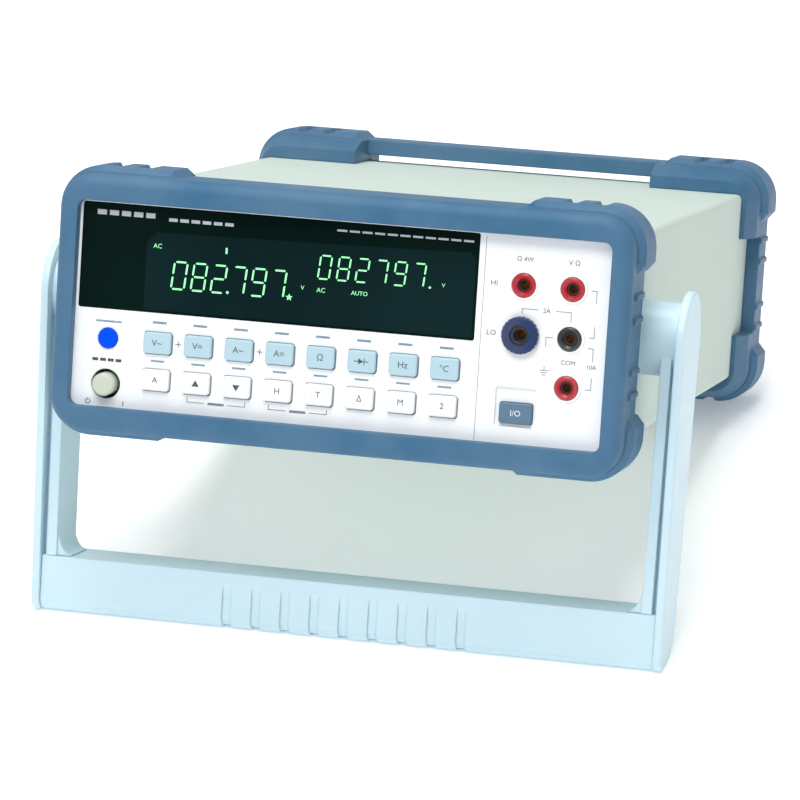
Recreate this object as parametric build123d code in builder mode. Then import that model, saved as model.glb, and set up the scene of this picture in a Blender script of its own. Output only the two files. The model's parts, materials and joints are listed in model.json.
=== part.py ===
"""Bench multimeter on its swivel handle, built as an assembly of separate sub-parts.

Every sub-part is drawn in the level case frame (millimetres): X to the right, Y from the front
panel towards the rear, Z up, origin at the middle of the front panel's face.  The finished
parts are then placed in the row frame, where the instrument stands on its handle's crossbar and
on the lower edge of its rear bumper, with the table at Z = 0.
"""
import os
from math import acos, atan2, cos, degrees, hypot, radians, sin, tan

from build123d import *

# ---------------------------------------------------------------- driving dimensions (mm)
PANEL_W = 215.8  # visible front panel, inside the bumper's lip
PANEL_H = 82.2
COVER_W = 220.2  # sheet-metal case
COVER_H = 83.0
BASE_W = 232.0  # bumper between its corner lugs
BASE_H = 103.0
LUG_W = 238.0  # bumper over its corner lugs
LUG_H = 108.4
CASE_REAR_Y = 343.0  # back of the rear bumper
HANDLE_W = 265.0  # over the handle's arms at the hubs
ARM_TOE_IN = 1.3  # each arm leans in by this much at the crossbar
HUB_Y = 50.5  # handle axis, behind the panel face and level with its middle
HANDLE_REACH = 132.0  # handle axis to the underside of the crossbar

# bumpers
BUMPER_FRONT_Y = -5.0
FRONT_BUMPER_DEPTH = 29.0
FRONT_LUG_Y = 6.0  # the front bumper's lugs run back past its frame
FRONT_LUG_BACK_Y = 30.0
REAR_LUG_SET_BACK = 20.0
REAR_BUMPER_DEPTH = 48.0
BASE_R = 14.0
LUG_R = 17.0
BUMPER_ROUND = 5.0
LUG_BEVEL = 3.0
LUG_BEVEL_ANGLE = 38.0
LIP_R = 3.5
TOP_LUG_FOOT_X = 70.0  # inner end of the lugs on top and bottom, at the bumper's surface
TOP_LUG_HEAD_X = 73.4  # the same end at the lug's own surface
SIDE_LUG_FOOT_Z = 28.6
SIDE_LUG_HEAD_Z = 32.2
NOTCH_X = (86.6, 98.3)
NOTCH_W = 6.0
NOTCH_DEPTH = 1.7
RIB_Z = (10.2, 19.6)
RIB_W = 4.6
RIB_H = 1.0
FLAP_X = 68.0  # inner end of the rear bumper's corner flaps, top and bottom
FLAP_Z = 21.8
FLAP_TAPER_L = 12.0  # the flaps thin towards the front over this length
FLAP_TAPER = 18.0  # degrees
BAR_GAP = 3.2  # gap between the case and the bars that join the flaps above and below it
BAR_SET_BACK = 24.0  # these bars lie further back than the flaps

# case
SHEET = 1.2
FIT = 0.1  # gap left between neighbouring fixed parts
BEZEL_W = 223.8
BEZEL_H = 91.8
BEZEL_R = 4.5
BEZEL_T = 3.0
BEZEL_DEPTH = 15.8
COVER_FRONT_Y = 5.0
COVER_BACK_Y = 329.0
TRAY_FRONT_Y = 18.0
TRAY_BACK_Y = 326.0
RETURN_W = 12.0
REAR_PANEL_Y = 327.0
REAR_PANEL_T = 1.5

# display window
WINDOW_LEFT = -106.8
WINDOW_RIGHT = 54.5
WINDOW_BOTTOM = -1.9
WINDOW_TOP = 40.3
WINDOW_T = 1.5

# keys
KEY_W = 11.3
KEY_H = 8.5
KEY_R = 1.2
KEY_PITCH = 16.7
FIRST_KEY_X = -73.1
FUNCTION_ROW_Z = -13.8
LOWER_ROW_Z = -28.6
KEY_PROUD = 2.0
KEY_GAP = 0.2
ROUND_BUTTON_X = -93.8
SHIFT_Z = -13.6
SHIFT_R = 4.0
POWER_Z = -31.9
POWER_R = 4.6
POWER_PROUD = 4.5
POWER_WELL_R = 6.0
OUTPUT_X = 73.0
OUTPUT_Z = -29.0
OUTPUT_W = 13.2
OUTPUT_H = 8.2
OUTPUT_RECESS = (64.6, 81.0, -34.4, -18.8)  # left, right, bottom, top
OUTPUT_RECESS_DEPTH = 1.2
STEM_R = 1.4
RUNNING = 0.1  # radial running clearance

# terminals
JACK_COLUMN = (73.0, 92.5)
JACK_ROW = (21.4, 1.9, -17.3)
JACK_R = 4.8
JACK_MOUTH_R = 2.6
SOCKET_R = 2.0
SLEEVE_R = 2.5
JACK_PROUD = 1.0
JACK_ROUND = 0.9  # rounding of a socket's rim, outside and in
SOCKET_DEPTH = 20.0
CARRIER_CAP_R = 7.4
CARRIER_BODY_R = 6.2
FUSE_R = 2.6
FUSE_LENGTH = 20.0

# handle
ARM_ROUND_R = 19.7
HUB_R = 14.9
HUB_ROOT_X = 111.8
ARM_PLATE_T = 3.5
ARM_GROOVE_T = 2.0
ARM_RIB_T = 4.3
ARM_GROOVE_DEPTH = 6.0
BAR_FRONT = -12.4  # crossbar faces, measured from the handle axis
BAR_BACK = 14.0
BAR_HEIGHT = 22.8
BAR_WALL = 3.0
BAR_FRONT_R = 5.4
BAR_REAR_R = 21.0
FOOT_SHAVE = 0.35  # depth of the flat where the crossbar rests on the table
GRIP_COUNT = 9
GRIP_PITCH = 12.2
GRIP_W = 3.6
GRIP_DEPTH = 0.8
PIVOT_POST_R = 6.0
PIVOT_SCREW_R = 2.0

# printed boards and what they carry
BOARD_T = 1.6
KEYPAD_Y = 9.4
MAIN_BOARD_TOP = -34.1
STANDOFF_H = 3.3

# ------------------------------------------------------------------ stance on the table
# The crossbar's flattened rear rounding and the rear lugs' lower corners share one plane.
FOOT_CENTRE_Y = HUB_Y + BAR_BACK - BAR_REAR_R
FOOT_CENTRE_Z = BAR_REAR_R - HANDLE_REACH
HEEL_Y = CASE_REAR_Y - LUG_BEVEL
HEEL_Z = -LUG_H / 2
SPAN_Y = FOOT_CENTRE_Y - HEEL_Y
SPAN_Z = HEEL_Z - FOOT_CENTRE_Z
HEIGHT_STEP = FOOT_SHAVE - BAR_REAR_R
TILT = degrees(atan2(SPAN_Y, SPAN_Z) + acos(HEIGHT_STEP / hypot(SPAN_Y, SPAN_Z)))
SIN_T = sin(radians(TILT))
COS_T = cos(radians(TILT))


def tilted_y(y, z):
    """Y of a case-frame point after tilting, before the shift to the table."""
    return y * COS_T + z * SIN_T


def tilted_z(y, z):
    """Height of a case-frame point after tilting, before the shift to the table."""
    return z * COS_T - y * SIN_T


LIFT = -tilted_z(HEEL_Y, HEEL_Z)

# The row's origin is the middle of the bounding box, on the table.
BEVEL_H = LUG_BEVEL * tan(radians(LUG_BEVEL_ANGLE))
FRONT_MOST_Y = tilted_y(BUMPER_FRONT_Y + BUMPER_ROUND, BUMPER_ROUND - BASE_H / 2) - BUMPER_ROUND
REAR_MOST_Y = tilted_y(CASE_REAR_Y, LUG_H / 2 - BEVEL_H)
SHIFT_Y = -(FRONT_MOST_Y + REAR_MOST_Y) / 2
CASE_PLACE = Location((0, SHIFT_Y, LIFT), (-TILT, 0, 0))


# ------------------------------------------------------------------------------ helpers
def facing(y):
    """A plane parallel to the front panel at depth y, seen from the front."""
    return Plane.XZ.offset(-y)


def side_plane(x):
    """A plane square to X: local x runs to the rear, local y runs up."""
    return Plane(origin=(x, 0, 0), x_dir=(0, 1, 0), z_dir=(1, 0, 0))


def save(part, name):
    """Label a finished sub-part, put it in the row frame and write its STEP file."""
    placed = part.moved(CASE_PLACE)
    placed.label = name
    export_step(placed, f"parts/{name}.step")


def plate(y, width, height, depth, radius=0.0, centre=(0.0, 0.0), mode=Mode.ADD):
    """A rectangular block whose front face lies at depth y."""
    with BuildSketch(facing(y)) as outline:
        with Locations(centre):
            if radius:
                RectangleRounded(width, height, radius)
            else:
                Rectangle(width, height)
    extrude(outline.sketch, amount=-depth, mode=mode)


def post(y, radius, depth, centre, mode=Mode.ADD):
    """A round bar along Y whose front face lies at depth y."""
    with BuildSketch(facing(y)) as outline:
        with Locations(centre):
            Circle(radius)
    extrude(outline.sketch, amount=-depth, mode=mode)


def slab(low, high, mode=Mode.ADD):
    """A block between two opposite corners."""
    low = Vector(low)
    size = Vector(high) - low
    with Locations(low + size / 2):
        Box(size.X, size.Y, size.Z, mode=mode)


def trim_to_table():
    """Cut away whatever would lie below the table."""
    with BuildSketch(Plane(CASE_PLACE.inverse())) as below_table:
        with Locations((0, tilted_y(FOOT_CENTRE_Y, FOOT_CENTRE_Z) + SHIFT_Y)):
            Rectangle(1.1 * HANDLE_W, 4 * BAR_REAR_R)
    extrude(below_table.sketch, amount=-BAR_REAR_R, mode=Mode.SUBTRACT)


def lug_outline(plane):
    """The four corner lugs: the outer outline less a bevelled notch in each side."""
    with BuildSketch(plane) as outline:
        RectangleRounded(LUG_W, LUG_H, LUG_R)
        for side in (1, -1):
            with BuildLine():
                Polyline(
                    (-TOP_LUG_FOOT_X, side * (BASE_H / 2 - 1)),
                    (-TOP_LUG_FOOT_X, side * BASE_H / 2),
                    (-TOP_LUG_HEAD_X, side * LUG_H / 2),
                    (-TOP_LUG_HEAD_X, side * (LUG_H / 2 + 1)),
                    (TOP_LUG_HEAD_X, side * (LUG_H / 2 + 1)),
                    (TOP_LUG_HEAD_X, side * LUG_H / 2),
                    (TOP_LUG_FOOT_X, side * BASE_H / 2),
                    (TOP_LUG_FOOT_X, side * (BASE_H / 2 - 1)),
                    close=True,
                )
            make_face(mode=Mode.SUBTRACT)
            with BuildLine():
                Polyline(
                    (side * (BASE_W / 2 - 1), -SIDE_LUG_FOOT_Z),
                    (side * BASE_W / 2, -SIDE_LUG_FOOT_Z),
                    (side * LUG_W / 2, -SIDE_LUG_HEAD_Z),
                    (side * (LUG_W / 2 + 1), -SIDE_LUG_HEAD_Z),
                    (side * (LUG_W / 2 + 1), SIDE_LUG_HEAD_Z),
                    (side * LUG_W / 2, SIDE_LUG_HEAD_Z),
                    (side * BASE_W / 2, SIDE_LUG_FOOT_Z),
                    (side * (BASE_W / 2 - 1), SIDE_LUG_FOOT_Z),
                    close=True,
                )
            make_face(mode=Mode.SUBTRACT)
    return outline.sketch


def cut_notches(y, depth):
    """Grip notches across the tops and bottoms of the lugs."""
    with BuildSketch(facing(y)) as notches:
        for side in (1, -1):
            for x in (*NOTCH_X, *(-n for n in NOTCH_X)):
                with Locations((x, side * (LUG_H / 2 + 1 - NOTCH_DEPTH / 2))):
                    Trapezoid(NOTCH_W + 2, NOTCH_DEPTH + 2, 60, rotation=90 - 90 * -side)
    extrude(notches.sketch, amount=-depth, mode=Mode.SUBTRACT)


def side_ribs(y, depth):
    """Low ribs on the bumper's sides, between the lugs."""
    with BuildSketch(facing(y)) as ribs:
        for side in (1, -1):
            for z in (*RIB_Z, *(-r for r in RIB_Z)):
                with Locations((side * (BASE_W / 2), z)):
                    Trapezoid(RIB_W, 2 * RIB_H, 55, rotation=-90 * side)
    extrude(ribs.sketch, amount=-depth)


def corner_lugs(front_y, back_y, bevel_back):
    """The lugs between two depths, bevelled at the front and, if asked, at the back."""
    straight_front = front_y + LUG_BEVEL
    straight_back = back_y - LUG_BEVEL if bevel_back else back_y
    extrude(lug_outline(facing(straight_front)), amount=straight_front - straight_back)
    extrude(lug_outline(facing(straight_front)), amount=LUG_BEVEL, taper=LUG_BEVEL_ANGLE)
    if bevel_back:
        extrude(lug_outline(facing(straight_back)), amount=-LUG_BEVEL, taper=LUG_BEVEL_ANGLE)


# ------------------------------------------------------------------------------ bumpers
os.makedirs("parts", exist_ok=True)

front_bumper_back = BUMPER_FRONT_Y + FRONT_BUMPER_DEPTH
BEZEL_POCKET = 2 * FIT
with BuildPart() as front_bumper:
    plate(BUMPER_FRONT_Y, BASE_W, BASE_H, FRONT_BUMPER_DEPTH, BASE_R)
    fillet(front_bumper.faces().sort_by(Axis.Y)[0].outer_wire().edges(), BUMPER_ROUND)
    corner_lugs(FRONT_LUG_Y, FRONT_LUG_BACK_Y, False)
    side_ribs(FRONT_LUG_Y, front_bumper_back - 2 - FRONT_LUG_Y)
    cut_notches(FRONT_LUG_Y + 2 * LUG_BEVEL, FRONT_BUMPER_DEPTH)
    plate(BUMPER_FRONT_Y, PANEL_W, PANEL_H, FRONT_BUMPER_DEPTH, LIP_R, mode=Mode.SUBTRACT)
    pocket_size = (BEZEL_W + BEZEL_POCKET, BEZEL_H + BEZEL_POCKET)
    plate(-FIT, *pocket_size, BEZEL_DEPTH + 2 * FIT, BEZEL_R + FIT, mode=Mode.SUBTRACT)
    cover_size = (COVER_W + BEZEL_POCKET, COVER_H + BEZEL_POCKET)
    plate(0, *cover_size, FRONT_LUG_BACK_Y, 2.5, mode=Mode.SUBTRACT)
    flap_depth = FRONT_LUG_BACK_Y - front_bumper_back
    plate(front_bumper_back, 2 * TOP_LUG_FOOT_X, LUG_H, flap_depth, mode=Mode.SUBTRACT)
    plate(front_bumper_back, LUG_W, 2 * SIDE_LUG_FOOT_Z, flap_depth, mode=Mode.SUBTRACT)
save(front_bumper.part, "front_bumper")

rear_bumper_front = CASE_REAR_Y - REAR_BUMPER_DEPTH
REAR_LIP_DEPTH = 13.0
pocket_depth = REAR_BUMPER_DEPTH - REAR_LIP_DEPTH
with BuildPart() as rear_bumper:
    flap_root_y = rear_bumper_front + FLAP_TAPER_L
    plate(flap_root_y, BASE_W, BASE_H, CASE_REAR_Y - flap_root_y, BASE_R)
    with BuildSketch(facing(flap_root_y)) as flap_outline:
        RectangleRounded(BASE_W, BASE_H, BASE_R)
    extrude(flap_outline.sketch, amount=FLAP_TAPER_L, taper=FLAP_TAPER)
    fillet(rear_bumper.faces().sort_by(Axis.Y)[-1].outer_wire().edges(), BUMPER_ROUND)
    corner_lugs(rear_bumper_front + REAR_LUG_SET_BACK, CASE_REAR_Y, True)
    side_ribs(rear_bumper_front + 6, REAR_BUMPER_DEPTH - 12)
    cut_notches(rear_bumper_front - 1, REAR_BUMPER_DEPTH - 3)
    plate(rear_bumper_front, *cover_size, pocket_depth, 2.5, mode=Mode.SUBTRACT)
    plate(rear_bumper_front, COVER_W - 8, COVER_H - 8, REAR_BUMPER_DEPTH, 4.0, mode=Mode.SUBTRACT)
    plate(rear_bumper_front, 2 * FLAP_X, COVER_H + 2 * BAR_GAP, REAR_BUMPER_DEPTH, mode=Mode.SUBTRACT)
    plate(rear_bumper_front, 2 * FLAP_X, LUG_H, BAR_SET_BACK, mode=Mode.SUBTRACT)
    plate(rear_bumper_front, LUG_W, 2 * FLAP_Z, BAR_SET_BACK, mode=Mode.SUBTRACT)
save(rear_bumper.part, "rear_bumper")

# --------------------------------------------------------------------- case sheet metal
CASE_SCREW_Y = (70.0, 280.0)
CASE_SCREW_X = 103.0
CASE_SCREW_R = 1.5
with BuildPart() as top_cover:
    cover_depth = COVER_BACK_Y - COVER_FRONT_Y
    plate(COVER_FRONT_Y, COVER_W, COVER_H, cover_depth, 2.5)
    inside = (COVER_W - 2 * SHEET, COVER_H - 2 * SHEET)
    plate(COVER_FRONT_Y, *inside, cover_depth, SHEET, mode=Mode.SUBTRACT)
    slab(
        (RETURN_W - COVER_W / 2, COVER_FRONT_Y, -COVER_H / 2),
        (COVER_W / 2 - RETURN_W, COVER_BACK_Y, SHEET - COVER_H / 2),
        mode=Mode.SUBTRACT,
    )
    with BuildSketch(side_plane(-COVER_W / 2)) as pivot_holes:
        with Locations((HUB_Y, 0)):
            Circle(PIVOT_SCREW_R + FIT)
    extrude(pivot_holes.sketch, amount=COVER_W, mode=Mode.SUBTRACT)
    with BuildSketch(Plane.XY.offset(-COVER_H / 2)) as return_holes:
        for y in CASE_SCREW_Y:
            with Locations((CASE_SCREW_X, y), (-CASE_SCREW_X, y)):
                Circle(CASE_SCREW_R + FIT)
    extrude(return_holes.sketch, amount=SHEET, mode=Mode.SUBTRACT)
save(top_cover.part, "top_cover")

tray_half = COVER_W / 2 - SHEET - FIT
tray_floor = SHEET + FIT - COVER_H / 2
tray_top = tray_floor + SHEET
TRAY_FLANGE_H = 12.0
BOARD_SCREWS = ((-100.0, 62.0), (100.0, 62.0), (-100.0, 300.0), (60.0, 300.0), (0.0, 180.0))
BOARD_SCREW_R = 1.5
with BuildPart() as bottom_tray:
    slab((-tray_half, TRAY_FRONT_Y, tray_floor), (tray_half, TRAY_BACK_Y, tray_top))
    for left, right in ((-tray_half, SHEET - tray_half), (tray_half - SHEET, tray_half)):
        slab((left, TRAY_FRONT_Y, tray_floor), (right, TRAY_BACK_Y, tray_floor + TRAY_FLANGE_H))
    with BuildSketch(Plane.XY.offset(tray_top)) as standoffs:
        with Locations(*BOARD_SCREWS):
            Circle(3.0)
    extrude(standoffs.sketch, amount=STANDOFF_H)
    with BuildSketch(Plane.XY.offset(tray_floor)) as tray_holes:
        with Locations(*BOARD_SCREWS):
            Circle(BOARD_SCREW_R + FIT / 2)
        for y in CASE_SCREW_Y:
            with Locations((CASE_SCREW_X, y), (-CASE_SCREW_X, y)):
                Circle(CASE_SCREW_R + FIT / 2)
    extrude(tray_holes.sketch, amount=SHEET + STANDOFF_H, mode=Mode.SUBTRACT)
    long_edges = bottom_tray.edges().filter_by(Axis.Y).group_by(Axis.Z)[0]
    fillet(long_edges, SHEET + FIT)
save(bottom_tray.part, "bottom_tray")

rear_w = COVER_W - 2 * SHEET - 2 * FIT
rear_h = COVER_H - 2 * SHEET - 2 * FIT
INLET_CENTRE = (-78.0, -12.0)
INLET_W = 27.0
INLET_H = 20.0
INLET_R = 1.5
DRAWER_CENTRE = (-78.0, 6.5)
DRAWER_W = 25.0
DRAWER_H = 9.0
SERIAL_CENTRE = (10.0, -14.0)
USB_CENTRE = (48.0, -14.0)
VENT_X = (-30.0, 95.0)
VENT_COUNT = 12
REAR_SCREW_X = 100.0
REAR_SCREW_Z = 32.0
with BuildPart() as rear_panel:
    plate(REAR_PANEL_Y, rear_w, rear_h, REAR_PANEL_T, 1.2)
    inlet_hole = (INLET_W + 2 * FIT, INLET_H + 2 * FIT)
    plate(REAR_PANEL_Y, *inlet_hole, REAR_PANEL_T, INLET_R, INLET_CENTRE, Mode.SUBTRACT)
    drawer_hole = (DRAWER_W + 4 * FIT, DRAWER_H + 4 * FIT)
    plate(REAR_PANEL_Y, *drawer_hole, REAR_PANEL_T, 1.0, DRAWER_CENTRE, Mode.SUBTRACT)
    plate(REAR_PANEL_Y, 18.0, 9.4, REAR_PANEL_T, 2.0, SERIAL_CENTRE, Mode.SUBTRACT)
    plate(REAR_PANEL_Y, 9.4, 9.4, REAR_PANEL_T, 0.8, USB_CENTRE, Mode.SUBTRACT)
    with BuildSketch(facing(REAR_PANEL_Y)) as vents:
        vent_pitch = (VENT_X[1] - VENT_X[0]) / (VENT_COUNT - 1)
        with Locations(((VENT_X[0] + VENT_X[1]) / 2, 20.0)):
            with GridLocations(vent_pitch, 1, VENT_COUNT, 1):
                SlotOverall(22.0, 3.2, rotation=90)
    extrude(vents.sketch, amount=-REAR_PANEL_T, mode=Mode.SUBTRACT)
    for x in (-REAR_SCREW_X, REAR_SCREW_X):
        for z in (-REAR_SCREW_Z, REAR_SCREW_Z):
            post(REAR_PANEL_Y, CASE_SCREW_R + FIT, REAR_PANEL_T, (x, z), Mode.SUBTRACT)
save(rear_panel.part, "rear_panel")

SCREW_HEAD_R = 2.8
SCREW_HEAD_T = 1.8
with BuildPart() as case_screws:
    for x in (-CASE_SCREW_X, CASE_SCREW_X):
        for y in CASE_SCREW_Y:
            with BuildSketch(Plane.XY.offset(-COVER_H / 2 - FIT / 2)) as heads:
                with Locations((x, y)):
                    Circle(SCREW_HEAD_R)
            extrude(heads.sketch, amount=-SCREW_HEAD_T)
            with BuildSketch(Plane.XY.offset(-COVER_H / 2 - FIT)) as shanks:
                with Locations((x, y)):
                    Circle(CASE_SCREW_R)
            extrude(shanks.sketch, amount=3 * SHEET)
    rear_face = REAR_PANEL_Y + REAR_PANEL_T
    for x in (-REAR_SCREW_X, REAR_SCREW_X):
        for z in (-REAR_SCREW_Z, REAR_SCREW_Z):
            post(rear_face + FIT / 2, SCREW_HEAD_R, SCREW_HEAD_T, (x, z))
            post(REAR_PANEL_Y - 6, CASE_SCREW_R, 6 + REAR_PANEL_T + FIT, (x, z))
save(case_screws.part, "case_screws")

# -------------------------------------------------------------------------- front bezel
KEY_XS = [FIRST_KEY_X + KEY_PITCH * i for i in range(8)]
FUNCTION_NAMES = ("ac_volts", "dc_volts", "ac_current", "dc_current")
FUNCTION_NAMES += ("ohms", "diode", "frequency", "temperature")
LOWER_NAMES = ("auto_range", "range_up", "range_down", "hold", "trigger", "relative", "max_min", "second")
JACKS = {
    "jack_sense_hi": (JACK_COLUMN[0], JACK_ROW[0]),
    "jack_input_hi": (JACK_COLUMN[1], JACK_ROW[0]),
    "jack_com": (JACK_COLUMN[1], JACK_ROW[1]),
    "jack_10a": (JACK_COLUMN[1], JACK_ROW[2]),
}
CARRIER_CENTRE = (JACK_COLUMN[0], JACK_ROW[1])
window_centre = ((WINDOW_LEFT + WINDOW_RIGHT) / 2, (WINDOW_BOTTOM + WINDOW_TOP) / 2)
window_w = WINDOW_RIGHT - WINDOW_LEFT
window_h = WINDOW_TOP - WINDOW_BOTTOM
TUBE_W = 136.0
TUBE_H = 30.0
tube_centre = (-24.0, 20.0)
COLLAR_R = 5.9
with BuildPart() as front_bezel:
    plate(0, BEZEL_W, BEZEL_H, BEZEL_DEPTH, BEZEL_R)
    plate(BEZEL_T, COVER_W + 2 * FIT, COVER_H + 2 * FIT, BEZEL_DEPTH, 2.6, mode=Mode.SUBTRACT)
    plate(0, window_w + 2 * FIT, window_h + 2 * FIT, WINDOW_T + 2 * FIT, 1.0, window_centre, Mode.SUBTRACT)
    plate(0, TUBE_W + 4, TUBE_H + 4, BEZEL_T, 1.0, tube_centre, Mode.SUBTRACT)
    for x in KEY_XS:
        for z in (FUNCTION_ROW_Z, LOWER_ROW_Z):
            plate(0, KEY_W + 2 * KEY_GAP, KEY_H + 2 * KEY_GAP, BEZEL_T, KEY_R, (x, z), Mode.SUBTRACT)
    post(0, SHIFT_R + KEY_GAP, BEZEL_T, (ROUND_BUTTON_X, SHIFT_Z), Mode.SUBTRACT)
    post(0, POWER_WELL_R, BEZEL_T, (ROUND_BUTTON_X, POWER_Z), Mode.SUBTRACT)
    recess_left, recess_right, recess_bottom, recess_top = OUTPUT_RECESS
    recess_centre = ((recess_left + recess_right) / 2, (recess_bottom + recess_top) / 2)
    recess_size = (recess_right - recess_left, recess_top - recess_bottom)
    plate(0, *recess_size, OUTPUT_RECESS_DEPTH, 1.0, recess_centre, Mode.SUBTRACT)
    output_centre = (OUTPUT_X, OUTPUT_Z)
    plate(0, OUTPUT_W + 2 * KEY_GAP, OUTPUT_H + 2 * KEY_GAP, BEZEL_T, KEY_R, output_centre, Mode.SUBTRACT)
    for centre in JACKS.values():
        post(-0.35, COLLAR_R, 0.5, centre)
        post(-1, JACK_R + FIT, BEZEL_T + 1, centre, Mode.SUBTRACT)
    post(-1, CARRIER_BODY_R + 0.3, BEZEL_T + 1, CARRIER_CENTRE, Mode.SUBTRACT)
save(front_bezel.part, "front_bezel")

with BuildPart() as display_window:
    plate(FIT, window_w, window_h, WINDOW_T, 0.9, window_centre)
save(display_window.part, "display_window")

# --------------------------------------------------------------------------------- keys
SWITCH_FRONT_Y = 6.0
SWITCH_T = KEYPAD_Y - 0.1 - SWITCH_FRONT_Y
STEM_END_Y = 7.0


def key(name, x, z):
    """A rectangular keytop with its retaining flange and the stem that works the switch."""
    with BuildPart() as keytop:
        plate(-KEY_PROUD, KEY_W, KEY_H, KEY_PROUD + BEZEL_T + FIT, KEY_R, (x, z))
        fillet(keytop.faces().sort_by(Axis.Y)[0].outer_wire().edges(), 0.7)
        plate(BEZEL_T + FIT, KEY_W + 1.6, KEY_H + 1.6, 1.0, KEY_R, (x, z))
        post(BEZEL_T + 1, STEM_R, STEM_END_Y - BEZEL_T - 1, (x, z))
    save(keytop.part, name)


for key_x, function_name in zip(KEY_XS, FUNCTION_NAMES):
    key(f"key_{function_name}", key_x, FUNCTION_ROW_Z)
for key_x, lower_name in zip(KEY_XS, LOWER_NAMES):
    key(f"key_{lower_name}", key_x, LOWER_ROW_Z)

with BuildPart() as shift_button:
    post(-1.2, SHIFT_R, BEZEL_T + 1.2 + FIT, (ROUND_BUTTON_X, SHIFT_Z))
    fillet(shift_button.faces().sort_by(Axis.Y)[0].outer_wire().edges(), 0.6)
    post(BEZEL_T + FIT, SHIFT_R + 0.9, 1.0, (ROUND_BUTTON_X, SHIFT_Z))
    post(BEZEL_T + 1, STEM_R, STEM_END_Y - BEZEL_T - 1, (ROUND_BUTTON_X, SHIFT_Z))
save(shift_button.part, "shift_button")

with BuildPart() as output_button:
    plate(-0.6, OUTPUT_W, OUTPUT_H, BEZEL_T + 0.6 + FIT, KEY_R, (OUTPUT_X, OUTPUT_Z))
    fillet(output_button.faces().sort_by(Axis.Y)[0].outer_wire().edges(), 0.6)
    plate(BEZEL_T + FIT, OUTPUT_W + 1.6, OUTPUT_H + 1.6, 1.0, KEY_R, (OUTPUT_X, OUTPUT_Z))
    post(BEZEL_T + 1, STEM_R, STEM_END_Y - BEZEL_T - 1, (OUTPUT_X, OUTPUT_Z))
save(output_button.part, "output_button")

ROD_R = 1.5
ROD_SOCKET_DEPTH = 5.0
POWER_BACK_Y = 8.0
SWITCH_BODY_Y = 236.0
power_centre = (ROUND_BUTTON_X, POWER_Z)
with BuildPart() as power_button:
    post(-POWER_PROUD, POWER_R, POWER_PROUD + POWER_BACK_Y, power_centre)
    fillet(power_button.faces().sort_by(Axis.Y)[0].outer_wire().edges(), 1.4)
    post(POWER_BACK_Y - ROD_SOCKET_DEPTH, ROD_R + FIT / 2, ROD_SOCKET_DEPTH, power_centre, Mode.SUBTRACT)
save(power_button.part, "power_button")

with BuildPart() as power_rod:
    rod_front = POWER_BACK_Y - ROD_SOCKET_DEPTH + FIT
    post(rod_front, ROD_R, SWITCH_BODY_Y + 2 - rod_front, power_centre)
save(power_rod.part, "power_rod")

# ---------------------------------------------------------------------------- terminals
JACK_BACK_Y = 14.0


def jack_shell(name, centre):
    """A shrouded 4 mm safety socket: ring, funnel mouth and a bore for the contact sleeve."""
    with BuildPart() as shell:
        post(-JACK_PROUD, JACK_R, JACK_PROUD + JACK_BACK_Y, centre)
        fillet(shell.faces().sort_by(Axis.Y)[0].outer_wire().edges(), JACK_ROUND)
        post(-JACK_PROUD, JACK_MOUTH_R, JACK_PROUD + JACK_BACK_Y, centre, Mode.SUBTRACT)
        chamfer(shell.faces().sort_by(Axis.Y)[0].inner_wires()[0].edges(), JACK_ROUND)
        post(BEZEL_T + FIT, JACK_R + 1.6, 3.0, centre)
        post(BEZEL_T, JACK_MOUTH_R, 4.0, centre, Mode.SUBTRACT)
    save(shell.part, name)


for jack_name, jack_centre in JACKS.items():
    jack_shell(jack_name, jack_centre)

SLEEVE_FRONT_Y = 1.4
with BuildPart() as jack_contacts:
    for centre in JACKS.values():
        post(SLEEVE_FRONT_Y, SLEEVE_R, SOCKET_DEPTH + 4, centre)
        post(SLEEVE_FRONT_Y, SOCKET_R, SOCKET_DEPTH, centre, Mode.SUBTRACT)
save(jack_contacts.part, "jack_contacts")

CARRIER_PROUD = 3.0
CARRIER_END_Y = 46.0
CONTACT_END_T = 1.2  # closed end of the contact, which the fuse presses on
SERRATION_COUNT = 24
SERRATION_R = 0.55
fuse_front_y = SLEEVE_FRONT_Y + SOCKET_DEPTH + CONTACT_END_T + FIT
with BuildPart() as fuse_carrier:
    post(-CARRIER_PROUD, CARRIER_CAP_R, CARRIER_PROUD - 0.3, CARRIER_CENTRE)
    fillet(fuse_carrier.faces().sort_by(Axis.Y)[0].outer_wire().edges(), 1.0)
    with BuildSketch(facing(-CARRIER_PROUD)) as serrations:
        with Locations(CARRIER_CENTRE):
            with PolarLocations(CARRIER_CAP_R + SERRATION_R / 2, SERRATION_COUNT):
                Circle(SERRATION_R)
    extrude(serrations.sketch, amount=-CARRIER_PROUD, mode=Mode.SUBTRACT)
    post(-1, CARRIER_BODY_R, CARRIER_END_Y + 1, CARRIER_CENTRE)
    post(-CARRIER_PROUD, 4.0, 1.2, CARRIER_CENTRE, Mode.SUBTRACT)
    post(-CARRIER_PROUD, JACK_MOUTH_R, CARRIER_PROUD + fuse_front_y, CARRIER_CENTRE, Mode.SUBTRACT)
    post(fuse_front_y - FIT, FUSE_R + FIT, CARRIER_END_Y, CARRIER_CENTRE, Mode.SUBTRACT)
save(fuse_carrier.part, "fuse_carrier")

with BuildPart() as fuse_contact:
    post(SLEEVE_FRONT_Y, SLEEVE_R, SOCKET_DEPTH + CONTACT_END_T, CARRIER_CENTRE)
    post(SLEEVE_FRONT_Y, SOCKET_R, SOCKET_DEPTH, CARRIER_CENTRE, Mode.SUBTRACT)
save(fuse_contact.part, "fuse_contact")

with BuildPart() as input_fuse:
    post(fuse_front_y, FUSE_R, FUSE_LENGTH, CARRIER_CENTRE)
save(input_fuse.part, "input_fuse")

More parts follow.
